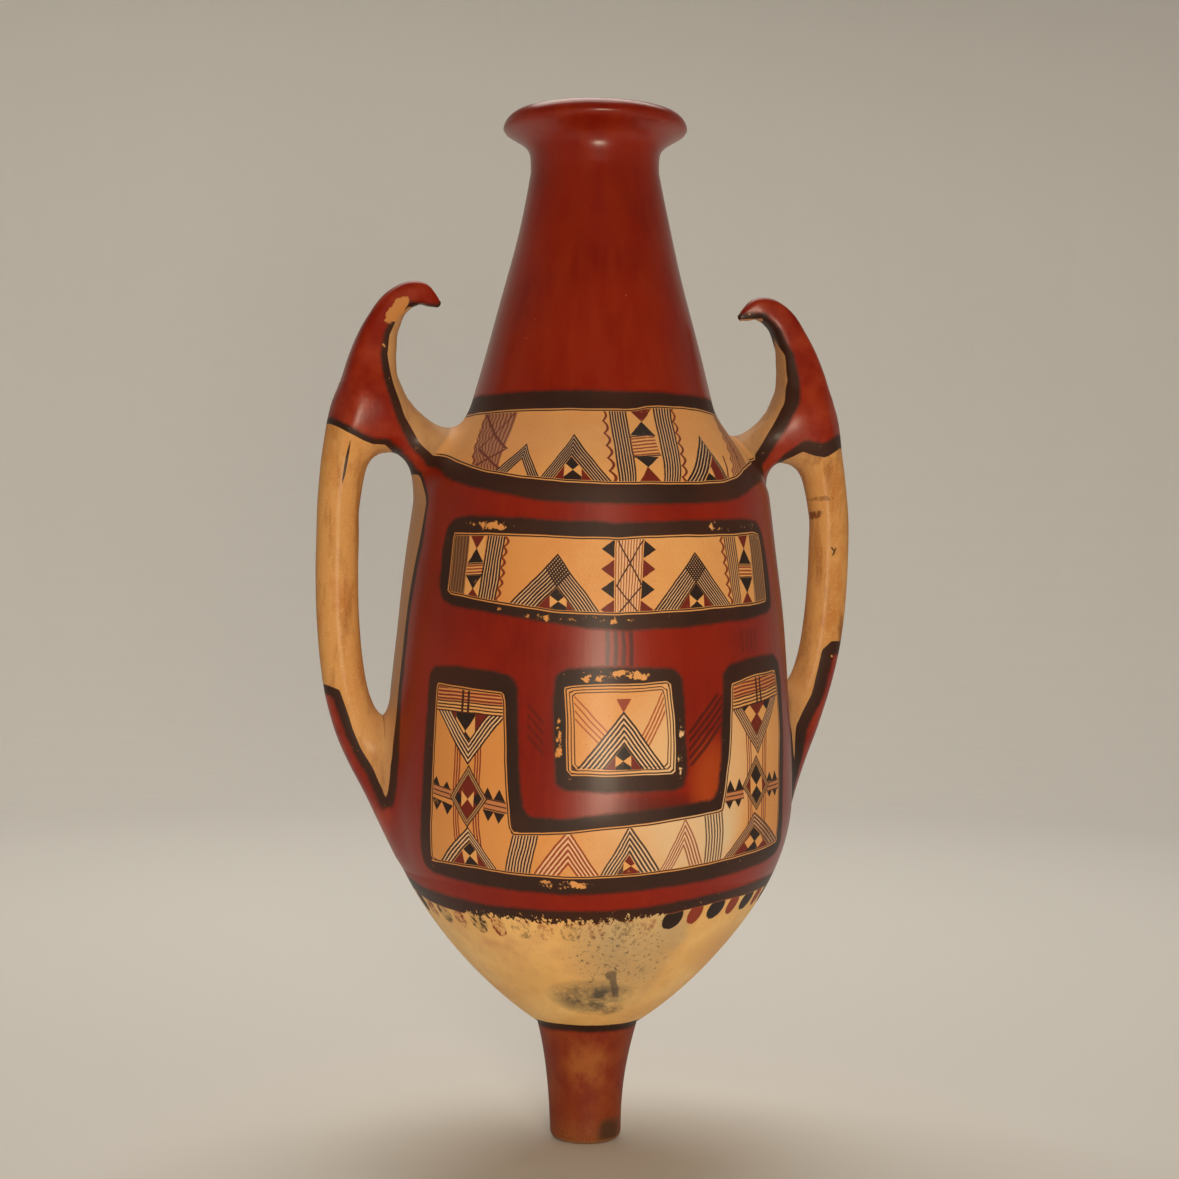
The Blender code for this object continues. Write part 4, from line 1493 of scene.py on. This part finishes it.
def drops(coat, colour, first_u, pitch, half, ink, shown):
    """A round drop every so many millimetres, hung from the belt's lower edge."""
    across = coat.sum("PINGPONG", coat.u - first_u, 0.5 * pitch) * (1.0 / half)
    down = (0.0 - coat.framing - 4.8) * (1.0 / 8.2)
    mask = coat.cover(1.0 - across * across - down * down, 0.16) * between(coat, coat.v, 165.0, 206.0, 0.5)
    return coat.over(colour, ink, mask * shown)


def belly_clay(coat):
    """Pale slip gone buff, with pinkish and orange clouds."""
    soft = coat.noise(coat.place, 17.0, 4.0, 0.65)
    buff = coat.over(BUFF_DEEP, BUFF_LIGHT, coat.ramp(soft, 3.4, -1.2))
    pink = coat.ramp(coat.noise(coat.place, 34.0, 3.0, 0.6), 4.0, -1.95)
    pink = pink * between(coat, coat.u, -190.0, -40.0, 50.0) * between(coat, coat.v, 135.0, 200.0, 16.0)
    buff = coat.over(buff, PINK_CLOUD, pink * 0.75)
    glow = spot(coat, 118.0, 158.0, 40.0, 16.0, 1.6) * coat.ramp(soft, 2.5, -0.7)
    buff = coat.over(buff, ORANGE_CLOUD, glow * 0.7)
    return coat.over(buff, BUFF_GRAIN, coat.ramp(coat.grain, 5.0, -2.95) * 0.45)


def smoke_marks(coat, buff):
    """A grey veil, scattered specks and two soft blots."""
    u, v = coat.u, coat.v
    cut = coat.cover(54.0 - u + (coat.cloud - 0.5) * 40.0, 12.0)
    veil = spot(coat, 14.0, 168.0, 60.0, 50.0, 1.6) * cut
    buff = coat.over(buff, VEIL_GREY, veil * coat.ramp(coat.cloud, 1.6, -0.25) * 0.75)
    fine = coat.noise(coat.place, 290.0, 5.0, 0.8)
    under_belt = spot(coat, -36.0, 181.0, 66.0, 10.0, 1.0) * 0.8
    region = coat.most(spot(coat, -10.0, 160.0, 56.0, 40.0, 1.3), under_belt)
    specks = coat.ramp(fine + region * 0.11, 26.0, -26.0 * 0.672)
    buff = coat.over(buff, SPECK_BROWN, specks * 0.85)
    smear = coat.noise(coat.place, 62.0, 5.0, 0.75)
    stain = coat.most(spot(coat, -34.0, 124.0, 50.0, 13.0, 1.5), spot(coat, -28.0, 126.0, 18.0, 7.5, 1.0))
    dark = coat.ramp(smear, 3.4, -0.95) * stain
    buff = coat.over(buff, SMOKE, dark * 0.95)
    buff = coat.over(buff, SMOKE, spot(coat, -6.0, 112.0, 26.0, 4.5, 1.4) * coat.ramp(smear, 4.0, -1.7))
    path = abs(u + 5.0 + (v - 135.0) * 0.66)
    blot = coat.cover(4.4 + (smear - 0.5) * 5.0 - path, 2.4) * between(coat, v, 124.0, 147.0, 3.5)
    blot = coat.most(blot, spot(coat, -12.0, 144.0, 6.0, 4.5, 0.8) * 0.9)
    return coat.over(buff, BLOT_GREY, blot * 0.72)


# %% Belly with its ragged belt
def belly():
    """The belt's lower edge is eaten away by a noise along the worn part."""
    coat = jar_coat("belly")
    tatter = coat.noise(coat.stretched(coat.place, (1.0, 1.0, 0.45)), 250.0, 4.0, 0.7)
    worn_part = between(coat, coat.u, -150.0, 24.0, 12.0)
    low_half = coat.cover(198.0 - coat.v, 5.0)
    loss = coat.sum("MULTIPLY_ADD", tatter, 30.0, -13.4) * worn_part * low_half
    coat.field = coat.field + coat.most(loss, 0.0)
    coat.in_field = coat.cover(coat.field, 0.6)
    worn = frame_wear(coat, worn_part * 0.03)
    colour = lay_slips(coat, worn)
    buff = smoke_marks(coat, belly_clay(coat))
    rubbed = coat.ramp(tatter, 9.0, -3.7)
    kept = 1.0 - between(coat, coat.u, -104.0, 23.0, 3.0) * (0.5 + rubbed * 0.5)
    kept = kept * (1.0 - between(coat, coat.u, -215.0, -100.0, 8.0) * rubbed * 0.8)
    buff = drops(coat, buff, 33.0, 43.0, 9.2, BLACK_PAINT, kept)
    buff = drops(coat, buff, 54.0, 43.0, 7.2, DROP_RED, kept)
    colour = coat.over(colour, buff, coat.in_field)
    rough = 0.46 + coat.grain * 0.16 + (1.0 - coat.in_field) * -0.06 + worn * 0.1
    return finish_coat(coat, colour, rough, worn, 0.12)


ZONES["belly"] = belly()

# %% Foot, scuffed at the bottom
FOOT_RED, FOOT_BROWN, FOOT_GRAIN = (0.20, 0.020, 0.004), (0.27, 0.050, 0.008), (0.36, 0.13, 0.035)
FOOT_PATCH, FOOT_RUBBED, FOOT_RIM = (0.38, 0.115, 0.024), (0.31, 0.12, 0.035), (0.30, 0.13, 0.05)
SOOT = (0.035, 0.024, 0.012)


def foot():
    """Thin brownish red, paler in patches, rubbed bare along the edge."""
    coat = jar_coat("foot")
    patch = coat.noise(coat.stretched(coat.place, (1.0, 1.0, 0.8)), 38.0, 4.0, 0.65)
    worn = frame_wear(coat, -0.2)
    colour = lay_slips(coat, worn)
    bare = in_red(coat)
    tone = coat.over(FOOT_RED, FOOT_BROWN, coat.ramp(patch, 3.4, -1.3))
    tone = coat.over(tone, FOOT_GRAIN, coat.ramp(coat.grain, 4.0, -2.2) * 0.3)
    pale_patch = spot(coat, -30.0, 62.0, 75.0, 20.0, 1.4) * coat.ramp(patch, 5.0, -2.2)
    tone = coat.over(tone, FOOT_PATCH, pale_patch * 0.7)
    low = coat.ramp(coat.v, -0.055, 1.25) * coat.ramp(coat.grain, 2.6, -0.75)
    tone = coat.over(tone, FOOT_RUBBED, low * 0.8)
    soot_x, soot_z = (coat.x - 0.012) * 105.0, (coat.z - 0.010) * 110.0
    ragged = 0.9 - soot_x * soot_x - soot_z * soot_z + (patch - 0.5) * 4.0
    soot = coat.cover(ragged, 1.6) * coat.cover(0.0 - coat.y, 0.01)
    tone = coat.over(tone, SOOT, soot * 0.8)
    colour = coat.over(colour, tone, bare)
    rim = coat.cover(3.6 - coat.v, 1.6)
    colour = coat.over(colour, FOOT_RIM, rim * 0.8)
    return finish_coat(coat, colour, 0.48 + coat.grain * 0.2, worn, 0.1)


ZONES["foot"] = foot()

# %% Handles with stained clay, a crack and a chip
CLAY, CLAY_BLOTCH, CLAY_STREAK = (0.68, 0.33, 0.10), (0.54, 0.195, 0.038), (0.36, 0.13, 0.03)
CLAY_GRAIN, CLAY_SHADED, RED_RUB = (0.80, 0.55, 0.27), (0.42, 0.25, 0.13), (0.46, 0.06, 0.018)
CHIP_CLAY, SCAR_CLAY = (0.60, 0.245, 0.065), (0.55, 0.27, 0.10)
STAIN_BROWN, CRACK_DARK = (0.17, 0.045, 0.014), (0.05, 0.02, 0.012)


def mark(coat, x, z, half_x, half_z, lean=0.0, soft=0.5, rag=0.5):
    """Ragged oval on the front of a handle; x and z in millimetres."""
    down = coat.z * 1000.0 - z
    across = coat.x * 1000.0 - x - down * lean
    a, b = across * (1.0 / half_x), down * (1.0 / half_z)
    mask = coat.cover(1.0 - a * a - b * b + coat.tremble * rag * 3.0, soft)
    return mask * coat.cover(0.0 - coat.y, 0.002)


def handles():
    """Stained pale clay on the grips, painted shade on their inner side, red on horns and roots, and each
    mark.
    """
    coat = jar_coat("handles")
    worn = frame_wear(coat, 0.035)
    # Beside the grips the clay is browner and darker: partly real rough clay, partly painted shade between
    # handle and body.
    colour = browner_and_shaded_beside(coat, lay_slips(coat, worn))
    long_stain = coat.noise(coat.stretched(coat.place, (1.0, 1.0, 0.2)), 85.0, 4.0, 0.65)
    blotch = coat.noise(coat.stretched(coat.place, (1.0, 1.0, 0.55)), 48.0, 4.0, 0.6)
    clay = coat.over(CLAY, CLAY_BLOTCH, coat.ramp(blotch, 4.4, -2.0) * 0.85)
    clay = coat.over(clay, CLAY_STREAK, coat.ramp(long_stain, 5.5, -2.75) * 0.75)
    clay = coat.over(clay, CLAY_GRAIN, coat.ramp(coat.grain, 5.0, -2.7) * 0.5)
    # Painted shade: the inner side of each handle, towards the neck, is darkened where less light reaches
    # it.
    inward = coat.cover(0.172 - abs(coat.x), 0.03)
    clay = coat.over(clay, CLAY_SHADED, inward * 0.6)
    bare = coat.in_field * coat.ramp(coat.attribute("on_handle"), 1.5, -0.1)
    colour = coat.over(colour, clay, bare)
    rub = coat.ramp(coat.noise(coat.place, 30.0, 3.0, 0.6), 3.6, -1.6)
    colour = coat.over(colour, RED_RUB, rub * in_red(coat) * 0.6)
    crack = mark(coat, -195.2, 521.0, 1.0, 15.0, 0.16, 0.5, 0.25)
    chip_top = mark(coat, -153.5, 642.5, 5.2, 4.5, 0.0, 0.3, 0.4)
    chip = coat.most(mark(coat, -157.0, 637.5, 6.2, 10.5, 0.62, 0.25, 0.45), chip_top)
    scar = mark(coat, -151.5, 249.0, 1.3, 14.0, -0.3, 0.6, 0.8)
    colour = coat.over(colour, CHIP_CLAY, chip)
    colour = coat.over(colour, SCAR_CLAY, scar * 0.85)
    faint_stain = mark(coat, 187.0, 501.5, 6.5, 2.0, 0.8, 0.9, 1.2) * 0.6
    stains = coat.most(mark(coat, 180.5, 488.0, 5.8, 3.6, 0.9, 0.8, 0.9), faint_stain)
    hook_arm = mark(coat, 195.6, 461.5, 0.9, 1.8, -0.6, 0.6, 0.3)
    hook = coat.most(mark(coat, 197.0, 459.5, 0.9, 3.6, 0.4, 0.6, 0.3), hook_arm)
    burnt = mark(coat, 205.0, 396.0, 3.0, 11.0, 0.0, 1.4, 0.6)
    colour = coat.over(colour, STAIN_BROWN, coat.most(stains * 0.85, burnt * 0.55))
    colour = coat.over(colour, CRACK_DARK, coat.most(crack, hook * 0.9))
    rough = rough_of(coat, worn) + bare * 0.18 + chip * 0.25
    polish_coat(coat, colour, rough, 0.3)
    cuts = crack * 4.0 + chip * 1.6 + scar * 0.8
    relief = coat.streak * 0.25 + coat.grain * 0.25 + blotch * 1.4 + coat.cloud * 0.8 - cuts
    coat.dent(relief, 0.6, 0.0005)
    return coat.material


ZONES["handles"] = handles()

# %% Bare clay inside
def bare_inside():
    """Gritty brown clay with faint rings, and red slip spilled over the lip."""
    coat = Coat("bare_inside")
    place = coat.node("ShaderNodeTexCoord", output="Object")
    z = coat.parts("ShaderNodeSeparateXYZ", place)[2]
    grit = coat.noise(place, 700.0, 4.0, 0.7)
    cloud = coat.noise(place, 24.0, 4.0, 0.6)
    rings = coat.noise(coat.stretched(place, (0.15, 0.15, 1.0)), 150.0, 2.0, 0.5)
    clay = coat.over((0.30, 0.12, 0.045), (0.42, 0.20, 0.08), coat.ramp(cloud, 3.0, -1.0))
    clay = coat.over(clay, (0.16, 0.07, 0.03), coat.ramp(grit, 5.0, -2.7) * 0.6)
    edge = coat.cover(z - 0.752 + (cloud - 0.5) * 0.03, 0.004)
    clay = coat.over(clay, RED, edge)
    coat.feed(coat.shader.inputs["Base Color"], clay)
    coat.feed(coat.shader.inputs["Roughness"], 0.78 - edge * 0.36)
    coat.shader.inputs["Specular IOR Level"].default_value = 0.3
    coat.dent(grit * 0.5 + rings * 1.2, 0.7, 0.0006)
    return coat.material


ZONES["bare_inside"] = bare_inside()
print("zones", list(ZONES))

# %% Give each face the material of its zone
centre = np.empty(len(body.data.polygons) * 3)
body.data.polygons.foreach_get("center", centre)
cx, cy, cz = centre.reshape(-1, 3).T
face_u, face_v = PAINT_RADIUS * np.arctan2(cx, -cy), 1000.0 * cz
loop_vertex = np.empty(len(body.data.loops), dtype=int)
body.data.loops.foreach_get("vertex_index", loop_vertex)
starts = np.empty(len(body.data.polygons), dtype=int)
body.data.polygons.foreach_get("loop_start", starts)
first_point = loop_vertex[starts]
face_handle = on_handle[first_point] > 0.02
face_inside = ~is_outside[first_point] | ((np.hypot(cx, cy) < inner_radius(cz) + 0.0005) & (cz < 0.79))


def within(low_u, high_u, low_v, high_v):
    """Faces whose middle lies in a rectangle of paint coordinates."""
    return (face_u > low_u) & (face_u < high_u) & (face_v > low_v) & (face_v < high_v)


beside_grip = (np.abs(np.abs(face_u) - HANDLE_U) < 46.0) & (face_v < 526.0)
ORDER = [
    ("red_neck", face_v > 576.0),
    ("shoulder_band", (face_v > 486.0) & (face_v < 576.0) & ~beside_grip),
    ("second_band", within(-176, 142, 401, 486)),
    ("square_panel", within(-72, 29.5, 278, 372)),
    ("left_column", within(-184, -82, 252, 376) | within(-184, -103, 204, 252)),
    ("right_column", within(57.5, 148, 268, 305) | within(61.5, 148, 305, 381) | within(62, 148, 210, 268)),
    ("low_strip", within(-103, -82, 206, 252) | within(-82, 62, 206, 268)),
    ("belly", face_v < 213.0),
    ("foot", face_v < 98.0),
    ("handles", face_handle),
    ("bare_inside", face_inside),
]
body.data.materials.clear()
body.data.materials.append(ZONES["red_body"])
zone_of = np.zeros(len(body.data.polygons), dtype=np.int32)
for name, chosen in ORDER:
    body.data.materials.append(ZONES[name])
    zone_of[chosen] = len(body.data.materials) - 1
body.data.polygons.foreach_set("material_index", zone_of)
print("faces by zone", dict(zip([m.name for m in body.data.materials], np.bincount(zone_of).tolist())))

# %% [markdown]
# ## A map for other programs
#
# The graphs above only run here. For use elsewhere the colours must be baked into one picture; this cell
# makes the map that says where each face lies in it. The painted front gets half the width and most of the
# height, the plain back a quarter, the handles a strip each, and the hollow a narrow edge.

# %% Unroll the jar into one square
FRONT_MIDDLE, FRONT_HALF, FRONT_TURN = 0.26, 0.25, 1.41
BACK_MIDDLE, BACK_HALF, BACK_TURN = 0.645, 0.115, 1.77
HOLLOW_MIDDLE, HOLLOW_HALF = 0.973, 0.02
HANDLE_MIDDLE, HANDLE_HALF = {"left": 0.815, "right": 0.905}, 0.039
GRIP_ROWS, BRIDGE_ROWS = (0.03, 0.89), (0.92, 0.985)
ROWS_AT, ROWS = (-0.03, 0.0, 0.2, 0.58, 0.82), (0.005, 0.035, 0.17, 0.82, 0.995)


def unrolled(angle, middle):
    """The angle nearest to the middle of its face, past half a turn if need be."""
    return middle + (angle - middle + math.pi) % (2.0 * math.pi) - math.pi


def roll_place(path, spots):
    """Length along a roll and angle round it, at any spots."""
    index = nearest_on(path, spots[:, [0, 2]])
    outward, ahead = outward_of(path)
    offset = spots[:, [0, 2]] - path[index, :2]
    run = np.concatenate([[0.0], np.cumsum(np.hypot(*np.diff(path[:, :2], axis=0).T))])
    length = run[index] + (offset * ahead[index]).sum(axis=1)
    return length / run[-1], np.arctan2(spots[:, 1], (offset * outward[index]).sum(axis=1))


face_sides = np.empty(len(body.data.polygons), dtype=int)
body.data.polygons.foreach_get("loop_total", face_sides)
corner_face = np.repeat(np.arange(len(body.data.polygons)), face_sides)
corner_at = np.empty(len(body.data.vertices) * 3)
body.data.vertices.foreach_get("co", corner_at)
corner_at = corner_at.reshape(-1, 3)[loop_vertex]
middle = np.column_stack([cx, cy, cz])
from_axis = np.hypot(corner_at[:, 0], corner_at[:, 1])
half_way = np.arctan2(cx, -cy)[corner_face]
turned_by = np.arctan2(corner_at[:, 0], -corner_at[:, 1])
turned_by = np.where(from_axis < 1e-6, half_way, unrolled(turned_by, half_way))
rise = corner_at[:, 2] + np.where(cz[corner_face] > 0.7965, LIP_RADIUS - from_axis, 0.0)
rise -= np.where(cz[corner_face] < FOOT_EDGE, FOOT_RADIUS - from_axis, 0.0)
map_v = np.interp(rise, ROWS_AT, ROWS)
is_front = np.abs(half_way) < math.radians(80.0)
behind = np.where(half_way < 0.0, turned_by + 2.0 * math.pi, turned_by)
front_u = FRONT_MIDDLE + FRONT_HALF * turned_by / FRONT_TURN
map_u = np.where(is_front, front_u, BACK_MIDDLE + BACK_HALF * (behind - math.pi) / BACK_TURN)
in_hollow = face_inside[corner_face]
map_u = np.where(in_hollow, HOLLOW_MIDDLE + HOLLOW_HALF * turned_by / math.pi, map_u)
map_v = np.where(in_hollow, 0.01 + 1.2 * (corner_at[:, 2] + 0.1 * from_axis), map_v)
for side, pair in paths.items():
    facing = SIDES[side][0]
    mirror = np.array([facing, 1.0, 1.0])
    seen = middle * mirror
    on_this = (on_handle[first_point] > 0.5) & (facing * cx > 0.0)
    to_roll = [roll_distance(path, seen, nearest_on(path, seen[:, [0, 2]]))[0] for path in pair]
    for path, chosen, (low_v, high_v) in (
        (pair[0], on_this & (to_roll[0] <= to_roll[1]), GRIP_ROWS),
        (pair[1], on_this & (to_roll[0] > to_roll[1]), BRIDGE_ROWS),
    ):
        _, face_angle = roll_place(path, seen)
        corners = chosen[corner_face]
        length, around = roll_place(path, corner_at[corners] * mirror)
        around = unrolled(around, face_angle[corner_face[corners]])
        map_u[corners] = HANDLE_MIDDLE[side] + HANDLE_HALF * around / math.pi
        map_v[corners] = low_v + (high_v - low_v) * length
bake_map = body.data.uv_layers.new(name="OFBake")
map_uv = np.clip(np.column_stack([map_u, map_v]), 0.001, 0.999).astype(np.float32)
bake_map.uv.foreach_set("vector", map_uv.ravel())
print("map spans", map_uv.min(axis=0).round(3), map_uv.max(axis=0).round(3))

# %% [markdown]
# ## Floor, light and camera
#
# The jar stands on a plain pale sweep, a floor that curves up all round, so
# no edge shows behind it from any side. The main light is soft and warm, as
# in the photograph. It stands a little behind the camera, about as high, and
# leaves one long gleam down the front. A wide light overhead brightens the
# sweep.

# %% A floor that curves up all round
def sweep_line(flat=2.4, bend=1.2, height=3.0, steps=24):
    """Radius and height: level, a quarter circle of the bend's radius, upright."""
    turn = np.linspace(0.0, 0.5 * math.pi, steps)
    radius = np.concatenate([[0.0, 0.5 * flat], flat + bend * np.sin(turn), [flat + bend]])
    rise = np.concatenate([[0.0, 0.0], bend * (1.0 - np.cos(turn)), [height]])
    return np.stack([radius, rise], axis=-1)


STAGE_SIDES = 96
out_by, up_by = sweep_line()[::-1].T[:, :, None]
angle = np.arange(STAGE_SIDES) * (2.0 * math.pi / STAGE_SIDES)
stage_grid = np.stack(np.broadcast_arrays(out_by * np.sin(angle), out_by * np.cos(angle), up_by), axis=-1)
floor = surface("sweep", stage_grid)
pale = bpy.data.materials.new("pale_paper")
pale.use_nodes = True
paper = pale.node_tree.nodes["Principled BSDF"]
paper.inputs["Base Color"].default_value = (0.80, 0.78, 0.75, 1.0)
paper.inputs["Roughness"].default_value = 0.9
floor.data.materials.append(pale)

# %% Soft lights
def soft_light(name, place, target, size, power, colour, spread=180.0):
    """Square light at a place, aimed at a target; spread in degrees."""
    light = bpy.data.lights.new(name, "AREA")
    light.spread = math.radians(spread)
    light.shape, light.size, light.energy, light.color = "SQUARE", size, power, colour
    lamp = bpy.data.objects.new(name, light)
    lamp.location = place
    lamp.rotation_euler = (Vector(target) - Vector(place)).to_track_quat("-Z", "Y").to_euler()
    bpy.context.scene.collection.objects.link(lamp)
    return lamp


soft_light("front_light", (-0.28, -1.95, 0.40), (0.0, 0.0, 0.30), 0.46, 8.2, (1.0, 0.85, 0.64), 110.0)
soft_light("top_light", (0.2, 1.1, 2.7), (0.0, 0.9, 0.0), 2.2, 50.0, (1.0, 0.94, 0.84))
world = bpy.data.worlds.new("room")
world.use_nodes = True
world.node_tree.nodes["Background"].inputs["Color"].default_value = (1.0, 0.93, 0.82, 1.0)
world.node_tree.nodes["Background"].inputs["Strength"].default_value = 0.06
bpy.context.scene.world = world

# %% Camera at the photograph's angle
YAW, ROLL = math.radians(15.0), math.radians(0.58)
PICTURE = 1179
CAMERA_PLACE = (-0.4245, -1.5844, 0.4308)
camera_data = bpy.data.cameras.new("camera")
camera_data.sensor_width, camera_data.lens = 36.0, 64.12
camera_data.shift_x, camera_data.shift_y = -1.4 / PICTURE, -4.5 / PICTURE
camera = bpy.data.objects.new("camera", camera_data)
bpy.context.scene.collection.objects.link(camera)
ahead = Vector((math.sin(YAW), math.cos(YAW), 0.0))
level = Vector((math.cos(YAW), -math.sin(YAW), 0.0))
right = level * math.cos(ROLL) + Vector((0, 0, 1)) * math.sin(ROLL)
above = Vector((0, 0, 1)) * math.cos(ROLL) - level * math.sin(ROLL)
turn = Matrix((right, above, -ahead)).transposed().to_4x4()
camera.matrix_world = Matrix.Translation(CAMERA_PLACE) @ turn
bpy.context.scene.camera = camera
bpy.context.scene.view_settings.view_transform = "Standard"
print("camera", [round(place, 3) for place in camera.location])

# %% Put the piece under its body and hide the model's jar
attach(body, "root")
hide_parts("jar")
